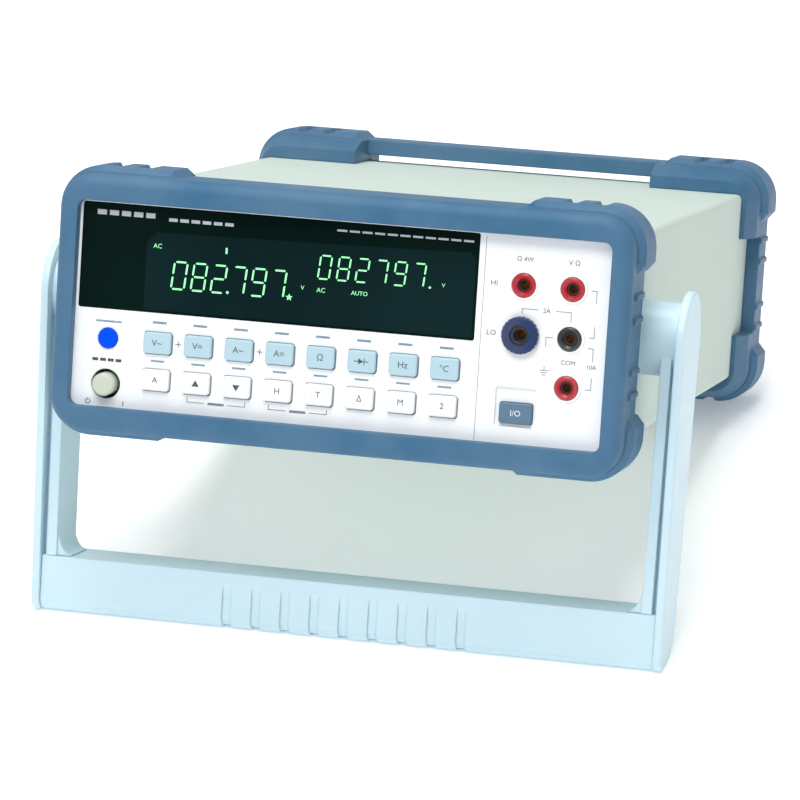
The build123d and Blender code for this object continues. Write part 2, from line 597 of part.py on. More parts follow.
with BuildPart() as fuse_holder:
    post(BEZEL_T + FIT, CARRIER_BODY_R + 1.6, CARRIER_END_Y, CARRIER_CENTRE)
    post(BEZEL_T, CARRIER_BODY_R + RUNNING, CARRIER_END_Y - BEZEL_T + 0.5, CARRIER_CENTRE, Mode.SUBTRACT)
save(fuse_holder.part, "fuse_holder")

# ------------------------------------------------------------------------------- handle
ARM_INNER_X = HANDLE_W / 2 - ARM_PLATE_T - ARM_GROOVE_T - ARM_RIB_T
LEAN = atan2(ARM_TOE_IN, HANDLE_REACH)
BAR_TOP_Z = BAR_HEIGHT - HANDLE_REACH
BAR_HALF_LENGTH = HANDLE_W / 2 - ARM_PLATE_T - ARM_TOE_IN - FIT
POST_END_X = 118.0
GUSSET_W = 6.0
GUSSET_H = 13.0
GUSSET_DEPTH = 22.0
GUSSET_TOE = 0.4  # thickness left at the gusset's tip
HUB_RECESS_DEPTH = 1.4


def arm_plane(x):
    """A plane parallel to the right arm, through (x, 0, 0)."""
    return Plane(origin=(x, 0, 0), x_dir=(0, 1, 0), z_dir=(cos(LEAN), 0, -sin(LEAN)))


def arm_outline(plane, round_r, inset, bottom):
    """Side view of an arm: round at the hub, tapering to the crossbar's section."""
    front = HUB_Y + BAR_FRONT - 1.0 + inset
    back = HUB_Y + BAR_BACK + 1.0 - inset
    with BuildSketch(plane) as outline:
        with BuildLine():
            Polyline(
                (HUB_Y - round_r, 0),
                (front, bottom),
                (back, bottom),
                (HUB_Y + round_r, 0),
                close=True,
            )
        make_face()
        if bottom == -HANDLE_REACH:
            round_bar_corners(outline)
        with Locations((HUB_Y, 0)):
            Circle(round_r)
    return outline.sketch


def round_bar_corners(outline):
    """Round the two lower corners of a section that follows the crossbar (local x is depth)."""
    front_low = outline.vertices().group_by(Axis.Y)[0].sort_by(Axis.X)[0]
    fillet(front_low, BAR_FRONT_R)
    back_low = outline.vertices().group_by(Axis.Y)[0].sort_by(Axis.X)[-1]
    fillet(back_low, BAR_REAR_R)


def bar_outline(plane):
    """Section of the crossbar: flat front, small front rounding and a large rear rounding."""
    front = HUB_Y + BAR_FRONT
    back = HUB_Y + BAR_BACK
    with BuildSketch(plane) as outline:
        with BuildLine():
            Polyline(
                (front, -HANDLE_REACH),
                (front, BAR_TOP_Z),
                (back, BAR_TOP_Z),
                (back, -HANDLE_REACH),
                close=True,
            )
        make_face()
        round_bar_corners(outline)
    return outline.sketch


def handle_arm(name, mirrored):
    """One arm: outer plate, inner rib beyond a groove, and the hub with its pivot bore."""
    rib_bottom = BAR_TOP_Z + FIT
    with BuildPart() as arm:
        plate_plane = arm_plane(HANDLE_W / 2 - ARM_PLATE_T)
        extrude(arm_outline(plate_plane, ARM_ROUND_R, 0.0, -HANDLE_REACH), amount=ARM_PLATE_T)
        fillet(arm.faces().sort_by(Axis.X)[-1].outer_wire().edges(), 1.2)
        web_plane = arm_plane(ARM_INNER_X + ARM_RIB_T)
        web_r = HUB_R - ARM_GROOVE_DEPTH
        extrude(arm_outline(web_plane, web_r, ARM_GROOVE_DEPTH, rib_bottom), amount=ARM_GROOVE_T)
        rib_r = ARM_ROUND_R - ARM_GROOVE_DEPTH
        extrude(arm_outline(arm_plane(ARM_INNER_X), rib_r, 0.8, rib_bottom), amount=ARM_RIB_T)
        with BuildSketch(facing(HUB_Y + BAR_FRONT + 1)) as gusset:
            with Locations((ARM_INNER_X + 1, rib_bottom)):
                Rectangle(GUSSET_W + 2, GUSSET_H, align=(Align.MAX, Align.MIN))
            with Locations((ARM_INNER_X - 1 - GUSSET_W, rib_bottom + GUSSET_H + GUSSET_TOE)):
                Ellipse(GUSSET_W, GUSSET_H, mode=Mode.SUBTRACT)
        extrude(gusset.sketch, amount=-GUSSET_DEPTH)
        with BuildSketch(side_plane(HUB_ROOT_X)) as hub:
            with Locations((HUB_Y, 0)):
                Circle(HUB_R)
        extrude(hub.sketch, amount=ARM_INNER_X + ARM_RIB_T + ARM_GROOVE_T - HUB_ROOT_X)
        with BuildSketch(side_plane(HUB_ROOT_X)) as tooth_recess:
            with Locations((HUB_Y, 0)):
                Circle(HUB_R - 1.2)
        extrude(tooth_recess.sketch, amount=HUB_RECESS_DEPTH, mode=Mode.SUBTRACT)
        with BuildSketch(side_plane(HUB_ROOT_X)) as pivot_bore:
            with Locations((HUB_Y, 0)):
                Circle(PIVOT_POST_R + RUNNING)
        extrude(pivot_bore.sketch, amount=POST_END_X + 1 - HUB_ROOT_X, mode=Mode.SUBTRACT)
        trim_to_table()
    finished = arm.part.mirror(Plane.YZ) if mirrored else arm.part
    save(finished, name)


handle_arm("handle_arm_right", False)
handle_arm("handle_arm_left", True)

POCKET_COUNT = 6
POCKET_RIB = 2.4
GRIP_TOP_Z = BAR_TOP_Z - 0.22 * BAR_HEIGHT
GRIP_FADE = 5.0  # height over which a groove runs out at its top
GRIP_END = 7.4  # how far a groove reaches under the bar
with BuildPart() as handle_crossbar:
    extrude(bar_outline(side_plane(-BAR_HALF_LENGTH)), amount=2 * BAR_HALF_LENGTH)
    pocket_pitch = 2 * BAR_HALF_LENGTH / POCKET_COUNT
    pocket_size = (pocket_pitch - POCKET_RIB, BAR_HEIGHT - 2 * BAR_WALL)
    for i in range(POCKET_COUNT):
        pocket_centre = ((i - (POCKET_COUNT - 1) / 2) * pocket_pitch, BAR_TOP_Z - BAR_HEIGHT / 2)
        pocket_front = HUB_Y + BAR_FRONT + BAR_WALL
        plate(pocket_front, *pocket_size, BAR_BACK - BAR_FRONT, 1.0, pocket_centre, Mode.SUBTRACT)
    bar_face = HUB_Y + BAR_FRONT
    for i in range(GRIP_COUNT):
        grip_plane = side_plane((i - (GRIP_COUNT - 1) / 2) * GRIP_PITCH - GRIP_W / 2)
        with BuildSketch(grip_plane) as grip:
            with BuildLine():
                Polyline(
                    (bar_face - 1, -HANDLE_REACH - 1),
                    (bar_face - 1, GRIP_TOP_Z),
                    (bar_face, GRIP_TOP_Z),
                    (bar_face + GRIP_DEPTH, GRIP_TOP_Z - GRIP_FADE),
                    (bar_face + GRIP_DEPTH, GRIP_DEPTH - HANDLE_REACH),
                    (bar_face + GRIP_END, GRIP_DEPTH - HANDLE_REACH),
                    (bar_face + GRIP_END, -HANDLE_REACH - 1),
                    close=True,
                )
            make_face()
            inner_corner = (bar_face + GRIP_DEPTH, GRIP_DEPTH - HANDLE_REACH, 0)
            fillet(grip.vertices().sort_by_distance(inner_corner)[0], BAR_FRONT_R - GRIP_DEPTH)
        extrude(grip.sketch, amount=GRIP_W, mode=Mode.SUBTRACT)
    trim_to_table()
save(handle_crossbar.part, "handle_crossbar")

TOOTH_COUNT = 24
PIVOT_PLATE_T = 1.4
pivot_root_x = COVER_W / 2 + FIT
pivot_face_x = pivot_root_x + PIVOT_PLATE_T
with BuildPart() as pivot_plate:
    with BuildSketch(side_plane(pivot_root_x)) as disc:
        with Locations((HUB_Y, 0)):
            Circle(HUB_R + 1.0)
    extrude(disc.sketch, amount=PIVOT_PLATE_T)
    with BuildSketch(side_plane(pivot_face_x)) as axle:
        with Locations((HUB_Y, 0)):
            Circle(PIVOT_POST_R)
    extrude(axle.sketch, amount=POST_END_X - pivot_face_x)
    with BuildSketch(side_plane(pivot_face_x)) as teeth:
        with Locations((HUB_Y, 0)):
            with PolarLocations(10.0, TOOTH_COUNT):
                Rectangle(5.6, 1.0)
    extrude(teeth.sketch, amount=0.9)
    with BuildSketch(side_plane(pivot_root_x)) as screw_hole:
        with Locations((HUB_Y, 0)):
            Circle(PIVOT_SCREW_R + FIT / 2)
    extrude(screw_hole.sketch, amount=POST_END_X - pivot_root_x, mode=Mode.SUBTRACT)
    with BuildSketch(side_plane(POST_END_X)) as head_recess:
        with Locations((HUB_Y, 0)):
            Circle(3.9)
    extrude(head_recess.sketch, amount=-3.0, mode=Mode.SUBTRACT)
save(pivot_plate.part, "pivot_plate_right")
save(pivot_plate.part.mirror(Plane.YZ), "pivot_plate_left")

nut_outer_x = COVER_W / 2 - SHEET - FIT
NUT_PLATE_T = 2.5
with BuildPart() as pivot_nut_plates:
    for side in (1, -1):
        with BuildSketch(side_plane(side * nut_outer_x)) as nut:
            with Locations((HUB_Y, 0)):
                RectangleRounded(18.0, 18.0, 2.0)
                Circle(PIVOT_SCREW_R + FIT / 2, mode=Mode.SUBTRACT)
        extrude(nut.sketch, amount=-side * NUT_PLATE_T)
save(pivot_nut_plates.part, "pivot_nut_plates")

with BuildPart() as pivot_screws:
    head_base_x = POST_END_X - 3.0 + FIT / 2
    for side in (1, -1):
        with BuildSketch(side_plane(side * head_base_x)) as head:
            with Locations((HUB_Y, 0)):
                Circle(3.5)
                Rectangle(1.0, 4.6, mode=Mode.SUBTRACT)
                Rectangle(4.6, 1.0, mode=Mode.SUBTRACT)
        extrude(head.sketch, amount=side * 2.4)
        with BuildSketch(side_plane(side * (head_base_x + 0.8))) as shank:
            with Locations((HUB_Y, 0)):
                Circle(PIVOT_SCREW_R)
        extrude(shank.sketch, amount=-side * (head_base_x + 0.8 - nut_outer_x + NUT_PLATE_T + 1.5))
save(pivot_screws.part, "pivot_screws")

# ------------------------------------------------------------------ boards and contents
BOARD_LEFT = -104.0
BOARD_BOTTOM = -37.0
with BuildPart() as display_board:
    with BuildSketch(facing(KEYPAD_Y)) as board_outline:
        with BuildLine():
            Polyline(
                (BOARD_LEFT, BOARD_BOTTOM),
                (84.0, BOARD_BOTTOM),
                (84.0, -10.0),
                (62.0, -10.0),
                (62.0, -BOARD_BOTTOM),
                (BOARD_LEFT, -BOARD_BOTTOM),
                close=True,
            )
        make_face()
        with Locations(power_centre):
            Circle(ROD_R + 0.7, mode=Mode.SUBTRACT)
    extrude(board_outline.sketch, amount=-BOARD_T)
save(display_board.part, "display_board")

TUBE_FRONT_Y = 3.3
with BuildPart() as display_tube:
    plate(TUBE_FRONT_Y, TUBE_W, TUBE_H, KEYPAD_Y - FIT - TUBE_FRONT_Y, 1.0, tube_centre)
save(display_tube.part, "display_tube")

SWITCH_SIZE = 6.0
WELL_DEPTH = 2.4
switch_places = [(x, z) for x in KEY_XS for z in (FUNCTION_ROW_Z, LOWER_ROW_Z)]
switch_places += [(ROUND_BUTTON_X, SHIFT_Z), (OUTPUT_X, OUTPUT_Z)]
with BuildPart() as key_switches:
    for place in switch_places:
        plate(SWITCH_FRONT_Y, SWITCH_SIZE, SWITCH_SIZE, SWITCH_T, 0.5, place)
        post(SWITCH_FRONT_Y, STEM_R + RUNNING, WELL_DEPTH, place, Mode.SUBTRACT)
save(key_switches.part, "key_switches")

MAIN_BOARD_FRONT = 40.0
MAIN_BOARD_BACK = 306.0
with BuildPart() as main_board:
    slab(
        (BOARD_LEFT, MAIN_BOARD_FRONT, MAIN_BOARD_TOP - BOARD_T),
        (-BOARD_LEFT, MAIN_BOARD_BACK, MAIN_BOARD_TOP),
    )
    with BuildSketch(Plane.XY.offset(MAIN_BOARD_TOP)) as screw_holes:
        with Locations(*BOARD_SCREWS):
            Circle(BOARD_SCREW_R + FIT)
    extrude(screw_holes.sketch, amount=-BOARD_T, mode=Mode.SUBTRACT)
save(main_board.part, "main_board")

on_board = MAIN_BOARD_TOP + FIT / 2
with BuildPart() as board_screws:
    with BuildSketch(Plane.XY.offset(on_board)) as screw_heads:
        with Locations(*BOARD_SCREWS):
            Circle(2.7)
    extrude(screw_heads.sketch, amount=1.7)
    with BuildSketch(Plane.XY.offset(on_board)) as screw_shanks:
        with Locations(*BOARD_SCREWS):
            Circle(BOARD_SCREW_R)
    extrude(screw_shanks.sketch, amount=tray_floor - on_board)
save(board_screws.part, "board_screws")

CORE_W = 66.0
CORE_H = 55.0
CORE_T = 34.0
CORE_Y = 240.0
CORE_WINDOW_W = 11.0
CORE_WINDOW_H = 33.0
CORE_LEG_W = 22.0
core_centre = (26.0, on_board + CORE_H / 2)
with BuildPart() as transformer_core:
    plate(CORE_Y, CORE_W, CORE_H, CORE_T, 0.0, core_centre)
    for side in (1, -1):
        window_x = core_centre[0] + side * (CORE_LEG_W + CORE_WINDOW_W) / 2
        plate(CORE_Y, CORE_WINDOW_W, CORE_WINDOW_H, CORE_T, 0.0, (window_x, core_centre[1]), Mode.SUBTRACT)
save(transformer_core.part, "transformer_core")

COIL_WALL = 10.4
with BuildPart() as transformer_coil:
    coil_middle = (core_centre[0], CORE_Y + CORE_T / 2)
    with BuildSketch(Plane.XY.offset(core_centre[1] - CORE_WINDOW_H / 2 + FIT)) as turns:
        with Locations(coil_middle):
            RectangleRounded(CORE_LEG_W + 2 * COIL_WALL, CORE_T + 2 * COIL_WALL, 6.0)
            Rectangle(CORE_LEG_W + 2 * FIT, CORE_T + 2 * FIT, mode=Mode.SUBTRACT)
    extrude(turns.sketch, amount=CORE_WINDOW_H - 2 * FIT)
save(transformer_coil.part, "transformer_coil")

SHIELD_T = 0.6
with BuildPart() as analog_shield:
    shield_low = Vector(16.0, 72.0, on_board)
    shield_high = Vector(98.0, 166.0, -8.0)
    wall = Vector(SHIELD_T, SHIELD_T, SHIELD_T)
    slab(shield_low, shield_high)
    slab(shield_low + Vector(SHIELD_T, SHIELD_T, 0), shield_high - wall, mode=Mode.SUBTRACT)
save(analog_shield.part, "analog_shield")

with BuildPart() as filter_capacitors:
    with BuildSketch(Plane.XY.offset(on_board)) as cans:
        with Locations((-62.0, 250.0), (-62.0, 272.0), (-40.0, 261.0)):
            Circle(8.0)
    extrude(cans.sketch, amount=32.0)
    fillet(filter_capacitors.faces().sort_by(Axis.Z)[-3:].edges(), 1.0)
save(filter_capacitors.part, "filter_capacitors")

with BuildPart() as range_relays:
    with Locations((57.0, 56.0, on_board + 5.0)):
        with GridLocations(20.0, 1.0, 4, 1):
            Box(14.0, 9.5, 10.0)
save(range_relays.part, "range_relays")

SWITCH_BODY_DEPTH = 24.0
with BuildPart() as power_switch:
    slab(
        (ROUND_BUTTON_X - 6, SWITCH_BODY_Y, on_board),
        (ROUND_BUTTON_X + 6, SWITCH_BODY_Y + SWITCH_BODY_DEPTH, POWER_Z + 9),
    )
    post(SWITCH_BODY_Y, ROD_R + RUNNING, 8.0, power_centre, Mode.SUBTRACT)
save(power_switch.part, "power_switch")

CABLE_T = 0.9
CABLE_W = 32.0
with BuildPart() as ribbon_cable:
    cable_top_z = -18.0
    cable_low_z = on_board + CABLE_T
    board_back = KEYPAD_Y + BOARD_T + FIT
    with BuildSketch(side_plane(-40.0)) as strip:
        with BuildLine():
            FilletPolyline(
                (board_back, cable_top_z),
                (board_back + 14.0, cable_top_z),
                (MAIN_BOARD_FRONT - 6.0, cable_low_z),
                (MAIN_BOARD_FRONT + 16.0, cable_low_z),
                radius=5.0,
            )
        trace(line_width=CABLE_T)
    extrude(strip.sketch, amount=CABLE_W)
save(ribbon_cable.part, "ribbon_cable")

# --------------------------------------------------------------------- rear connections
panel_back_y = REAR_PANEL_Y + REAR_PANEL_T + FIT
INLET_BODY_DEPTH = 20.0
with BuildPart() as mains_inlet:
    inlet_front_y = panel_back_y - INLET_BODY_DEPTH
    plate(inlet_front_y, INLET_W, INLET_H, INLET_BODY_DEPTH, INLET_R + FIT, INLET_CENTRE)
    plate(panel_back_y, INLET_W + 4, INLET_H + 3, 2.0, 2.0, INLET_CENTRE)
    plate(inlet_front_y + 3, INLET_W - 3, INLET_H - 4, INLET_BODY_DEPTH, 3.0, INLET_CENTRE, Mode.SUBTRACT)
    inlet_x, inlet_z = INLET_CENTRE
    for pin_x, pin_z in ((-7.0, -2.0), (7.0, -2.0), (0.0, 2.0)):
        plate(inlet_front_y + 2, 2.0, 4.0, INLET_BODY_DEPTH - 2, 0.0, (inlet_x + pin_x, inlet_z + pin_z))
save(mains_inlet.part, "mains_inlet")

DRAWER_DEPTH = 26.0
with BuildPart() as inlet_fuse_drawer:
    drawer_front_y = panel_back_y + 2.0 - DRAWER_DEPTH
    plate(drawer_front_y, DRAWER_W, DRAWER_H, DRAWER_DEPTH, 0.8, DRAWER_CENTRE)
    plate(drawer_front_y, DRAWER_W - 3, DRAWER_H - 3, DRAWER_DEPTH - 4, 0.6, DRAWER_CENTRE, Mode.SUBTRACT)
    plate(panel_back_y + 0.5, 10.0, 2.0, 2.0, 0.0, DRAWER_CENTRE, Mode.SUBTRACT)
save(inlet_fuse_drawer.part, "inlet_fuse_drawer")

with BuildPart() as serial_port:
    plate(panel_back_y - 10, 17.2, 8.8, 16.0, 1.8, SERIAL_CENTRE)
    plate(panel_back_y, 31.0, 12.5, 1.0, 1.5, SERIAL_CENTRE)
    plate(panel_back_y + 2, 16.2, 7.8, 4.0, 1.4, SERIAL_CENTRE, Mode.SUBTRACT)
    serial_x, serial_z = SERIAL_CENTRE
    for row, pins in ((1.4, 5), (-1.4, 4)):
        for i in range(pins):
            pin_x = serial_x + (i - (pins - 1) / 2) * 2.75
            post(panel_back_y + 1.5, 0.5, 3.5, (pin_x, serial_z + row))
save(serial_port.part, "serial_port")

with BuildPart() as usb_port:
    plate(panel_back_y - 10, 8.8, 8.8, 11.5, 0.6, USB_CENTRE)
    plate(panel_back_y - 6, 7.8, 7.8, 8.0, 0.5, USB_CENTRE, Mode.SUBTRACT)
    plate(panel_back_y - 7, 5.6, 3.2, 7.5, 0.0, USB_CENTRE)
save(usb_port.part, "usb_port")
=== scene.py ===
"""Looks of the bench multimeter: materials, glowing readout, printed panel marks, light and camera.

Everything on the instrument is laid out in its case frame (metres): x to the right, y from the
panel to the rear, z up along the tilted panel, with the origin on the handle's axis. Tables of
marks give their places in that frame in millimetres.
"""
import json
import math

import bmesh
import bpy
from mathutils import Matrix, Vector


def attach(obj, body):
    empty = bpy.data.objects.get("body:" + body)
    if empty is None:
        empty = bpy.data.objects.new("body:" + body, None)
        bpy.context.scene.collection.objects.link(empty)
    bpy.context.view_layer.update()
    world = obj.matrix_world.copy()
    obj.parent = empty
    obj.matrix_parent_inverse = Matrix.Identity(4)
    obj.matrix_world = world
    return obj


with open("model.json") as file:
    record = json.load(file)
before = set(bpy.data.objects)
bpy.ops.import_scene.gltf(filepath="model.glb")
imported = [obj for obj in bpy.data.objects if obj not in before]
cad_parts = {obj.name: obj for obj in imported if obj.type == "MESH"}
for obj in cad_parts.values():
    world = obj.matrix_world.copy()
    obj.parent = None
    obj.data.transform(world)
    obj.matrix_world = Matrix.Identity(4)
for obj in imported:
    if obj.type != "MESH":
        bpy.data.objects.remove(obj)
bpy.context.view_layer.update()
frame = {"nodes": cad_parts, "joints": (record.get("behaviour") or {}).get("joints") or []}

MM = 0.001
JOINTS = {joint["name"]: joint for joint in frame["joints"]}
RIGHT = Vector((1, 0, 0))
BACK = Vector(JOINTS["power_button_press"]["axis"]).normalized()
UP = RIGHT.cross(BACK)
PIVOT = Vector(JOINTS["handle_swing"]["pos_m"])
CASE = Matrix.Translation(PIVOT) @ Matrix((RIGHT, BACK, UP)).transposed().to_4x4()
TO_CASE = CASE.inverted()
FUNCTION_KEYS = [
    "ac_volts", "dc_volts", "ac_current", "dc_current", "ohms", "diode", "frequency", "temperature",
]
LOWER_KEYS = ["auto_range", "range_up", "range_down", "hold", "trigger", "relative", "max_min", "second"]


def case_box(node):
    """A node's lowest and highest corners in the case frame."""
    points = [TO_CASE @ v.co for v in frame["nodes"][node].data.vertices]
    low = Vector([min(p[i] for p in points) for i in range(3)])
    high = Vector([max(p[i] for p in points) for i in range(3)])
    return low, high


def middle(node):
    """The centre of a node's box in the case frame."""
    low, high = case_box(node)
    return (low + high) / 2


# ---------------------------------------------------------------------------- materials
def srgb(red, green, blue):
    """Linear colour from 8-bit display values."""
    def linear(value):
        value /= 255
        return value / 12.92 if value <= 0.04045 else ((value + 0.055) / 1.055) ** 2.4

    return (linear(red), linear(green), linear(blue), 1.0)


# how far a rounded normal agrees with the face's own where an edge starts to show, and where it is full
EDGE_STARTS, EDGE_FULL = 0.995, 0.86


class Shader:
    """A small builder for procedural materials in object space."""

    def __init__(self, name):
        self.material = bpy.data.materials.new(name)
        self.material.use_nodes = True
        self.tree = self.material.node_tree
        self.surface = self.tree.nodes["Principled BSDF"]
        self.coords = self.node("ShaderNodeTexCoord").outputs["Object"]

    def node(self, kind, **settings):
        made = self.tree.nodes.new(kind)
        for key, value in settings.items():
            setattr(made, key, value)
        return made

    def link(self, source, target):
        self.tree.links.new(source, target)

    def set(self, **values):
        for key, value in values.items():
            self.surface.inputs[key.replace("_", " ")].default_value = value

    def noise(self, scale, detail=2.0, roughness=0.5, stretch=None):
        texture = self.node("ShaderNodeTexNoise")
        texture.inputs["Scale"].default_value = scale
        texture.inputs["Detail"].default_value = detail
        texture.inputs["Roughness"].default_value = roughness
        source = self.coords
        if stretch:
            mapping = self.node("ShaderNodeMapping")
            mapping.inputs["Scale"].default_value = stretch
            self.link(self.coords, mapping.inputs["Vector"])
            source = mapping.outputs["Vector"]
        self.link(source, texture.inputs["Vector"])
        return texture.outputs["Fac"]

    def remap(self, source, low, high, new_low, new_high):
        remapped = self.node("ShaderNodeMapRange")
        for key, value in (("From Min", low), ("From Max", high), ("To Min", new_low), ("To Max", new_high)):
            remapped.inputs[key].default_value = value
        self.link(source, remapped.inputs["Value"])
        return remapped.outputs["Result"]

    def mix(self, factor, first, second):
        """Mix two colours; each may be a socket or a fixed colour."""
        mixer = self.node("ShaderNodeMix", data_type="RGBA")
        self.link(factor, mixer.inputs["Factor"])
        for slot_name, value in (("A", first), ("B", second)):
            socket = next(s for s in mixer.inputs if s.name == slot_name and s.type == "RGBA")
            if isinstance(value, bpy.types.NodeSocket):
                self.link(value, socket)
            else:
                socket.default_value = value
        return next(s for s in mixer.outputs if s.type == "RGBA")

    def rounded(self, radius):
        """A normal that rounds the edges, and a mask that is high on them."""
        bevel = self.node("ShaderNodeBevel", samples=4)
        bevel.inputs["Radius"].default_value = radius
        geometry = self.node("ShaderNodeNewGeometry")
        dot = self.node("ShaderNodeVectorMath", operation="DOT_PRODUCT")
        self.link(bevel.outputs["Normal"], dot.inputs[0])
        self.link(geometry.outputs["Normal"], dot.inputs[1])
        edge = self.remap(dot.outputs["Value"], EDGE_STARTS, EDGE_FULL, 0.0, 1.0)
        return bevel.outputs["Normal"], edge

    def bump(self, height, strength, distance, normal=None):
        bump = self.node("ShaderNodeBump")
        bump.inputs["Strength"].default_value = strength
        bump.inputs["Distance"].default_value = distance
        self.link(height, bump.inputs["Height"])
        if normal is not None:
            self.link(normal, bump.inputs["Normal"])
        return bump.outputs["Normal"]


def lighter(colour, amount):
    """A colour moved towards white (positive) or black (negative)."""
    goal = 1.0 if amount > 0 else 0.0
    return tuple(c + (goal - c) * abs(amount) for c in colour[:3]) + (1.0,)


def moulded(name, colour, roughness, grain, depth, round_mm, wear, clouds, **settings):
    """Moulded plastic, rubber or paint: mottled colour, fine grain, soft worn edges.

    grain is the grain's noise scale, depth its height in mm, round_mm the radius that edges are
    shaded with, wear how far edges fade, and clouds how far the colour wanders.
    """
    shader = Shader(name)
    cloud = shader.remap(shader.noise(22.0, 4.0, 0.6), 0.3, 0.7, 0.0, 1.0)
    body = shader.mix(cloud, lighter(colour, -clouds), lighter(colour, clouds))
    normal, edge = shader.rounded(round_mm * MM)
    scuffs = shader.remap(shader.noise(320.0, 5.0, 0.7), 0.4, 0.62, 0.25, 1.0)
    worn = shader.node("ShaderNodeMath", operation="MULTIPLY")
    shader.link(edge, worn.inputs[0])
    shader.link(scuffs, worn.inputs[1])
    faded = shader.node("ShaderNodeMath", operation="MULTIPLY")
    faded.inputs[1].default_value = wear
    shader.link(worn.outputs[0], faded.inputs[0])
    shaded = shader.mix(faded.outputs[0], body, lighter(colour, 0.6))
    shader.link(shaded, shader.surface.inputs["Base Color"])
    fine = shader.noise(grain, 3.0, 0.6)
    smears = shader.noise(60.0, 3.0, 0.6, stretch=(1.0, 1.0, 3.0))
    gloss = shader.remap(smears, 0.3, 0.7, roughness - 0.05, roughness + 0.06)
    shader.link(gloss, shader.surface.inputs["Roughness"])
    shader.link(shader.bump(fine, 0.35, depth * MM, normal), shader.surface.inputs["Normal"])
    shader.set(**settings)
    return shader.material


def metal(name, colour, roughness):
    """Bare or plated metal with a fine grain and faint tarnish."""
    shader = Shader(name)
    tarnish = shader.remap(shader.noise(90.0, 5.0, 0.65), 0.35, 0.7, 0.0, 1.0)
    tarnished = shader.mix(tarnish, lighter(colour, 0.08), lighter(colour, -0.18))
    shader.link(tarnished, shader.surface.inputs["Base Color"])
    grain = shader.noise(900.0, 4.0, 0.7)
    shader.link(
        shader.remap(grain, 0.3, 0.7, roughness - 0.08, roughness + 0.1), shader.surface.inputs["Roughness"]
    )
    normal, _ = shader.rounded(0.15 * MM)
    shader.link(shader.bump(grain, 0.25, 0.01 * MM, normal), shader.surface.inputs["Normal"])
    shader.set(Metallic=1.0)
    return shader.material


def window_plastic(name, colour, shine):
    """Clear or tinted acrylic or glass: deep gloss with the faintest dust, darker in patches."""
    shader = Shader(name)
    depth = shader.remap(shader.noise(14.0, 2.0, 0.5), 0.35, 0.65, 0.0, 1.0)
    shader.link(
        shader.mix(depth, lighter(colour, -0.25), lighter(colour, 0.001)), shader.surface.inputs["Base Color"]
    )
    dust = shader.noise(700.0, 6.0, 0.75)
    shader.link(shader.remap(dust, 0.45, 0.75, 0.07, 0.2), shader.surface.inputs["Roughness"])
    normal, _ = shader.rounded(0.3 * MM)
    shader.link(shader.bump(dust, 0.03, 0.01 * MM, normal), shader.surface.inputs["Normal"])
    shader.set(Specular_IOR_Level=shine)
    return shader.material


def glow(name, colour, strength):
    """Phosphor segments: a green glow with a slightly uneven coating."""
    shader = Shader(name)
    coating = shader.remap(shader.noise(1500.0, 3.0, 0.6), 0.3, 0.7, 0.75 * strength, 1.1 * strength)
    shader.set(Base_Color=lighter(colour, -0.4), Emission_Color=colour, Roughness=0.5)
    shader.link(coating, shader.surface.inputs["Emission Strength"])
    return shader.material


def circuit_board(name):
    """Green solder mask with faint copper tracks showing through."""
    shader = Shader(name)
    tracks = shader.node("ShaderNodeTexBrick")
    tracks.inputs["Scale"].default_value = 180.0
    tracks.inputs["Mortar Size"].default_value = 0.06
    shader.link(shader.coords, tracks.inputs["Vector"])
    green = srgb(24, 92, 48)
    shader.link(
        shader.mix(tracks.outputs["Fac"], green, lighter(green, 0.12)), shader.surface.inputs["Base Color"]
    )
    shader.link(shader.bump(tracks.outputs["Fac"], 0.4, 0.04 * MM), shader.surface.inputs["Normal"])
    shader.set(Roughness=0.35)
    return shader.material


def laminated(name, colour, stretch):
    """Stacked sheets or wound tape: thin bands, finest along the axis with the largest stretch."""
    shader = Shader(name)
    bands = shader.noise(1.0, 2.0, 0.5, stretch=stretch)
    shader.link(
        shader.mix(shader.remap(bands, 0.35, 0.65, 0.0, 1.0), lighter(colour, -0.35), lighter(colour, 0.1)),
        shader.surface.inputs["Base Color"],
    )
    shader.link(shader.bump(bands, 0.6, 0.05 * MM), shader.surface.inputs["Normal"])
    shader.set(Roughness=0.45)
    return shader.material


def ink(name, colour):
    """Screen-printed ink, slightly uneven."""
    shader = Shader(name)
    cover = shader.remap(shader.noise(1300.0, 3.0, 0.6), 0.3, 0.7, 0.0, 1.0)
    shader.link(
        shader.mix(cover, lighter(colour, -0.08), lighter(colour, 0.12)), shader.surface.inputs["Base Color"]
    )
    shader.set(Roughness=0.55)
    return shader.material


# moulded: name, colour, roughness, grain, depth, round_mm, wear, clouds
RUBBER = moulded("blue_rubber", srgb(57, 105, 139), 0.5, 1500.0, 0.03, 1.3, 0.1, 0.05,
                 Specular_IOR_Level=0.22)
PAINT = moulded("case_powder_coat", srgb(201, 217, 207), 0.55, 1100.0, 0.05, 0.8, 0.05, 0.03)
BEZEL = moulded("bezel_white", srgb(246, 248, 249), 0.5, 2600.0, 0.015, 0.35, 0.0, 0.015)
HANDLE = moulded("handle_ice_blue", srgb(204, 230, 240), 0.38, 1600.0, 0.02, 1.0, 0.1, 0.03)
PIVOT_PLASTIC = moulded("pivot_plastic", srgb(168, 200, 204), 0.42, 1600.0, 0.02, 0.4, 0.1, 0.04)
FUNCTION_KEY = moulded("function_key_plastic", srgb(178, 208, 220), 0.4, 2200.0, 0.012, 0.35, 0.15, 0.03)
LOWER_KEY = moulded("lower_key_plastic", srgb(240, 243, 244), 0.42, 2200.0, 0.012, 0.35, 0.0, 0.02)
SHIFT_BLUE = moulded("shift_blue", srgb(0, 78, 236), 0.45, 2200.0, 0.012, 0.35, 0.0, 0.0,
                     Specular_IOR_Level=0.05)
POWER_BEIGE = moulded("power_beige", srgb(196, 204, 186), 0.4, 2200.0, 0.012, 0.4, 0.12, 0.04)
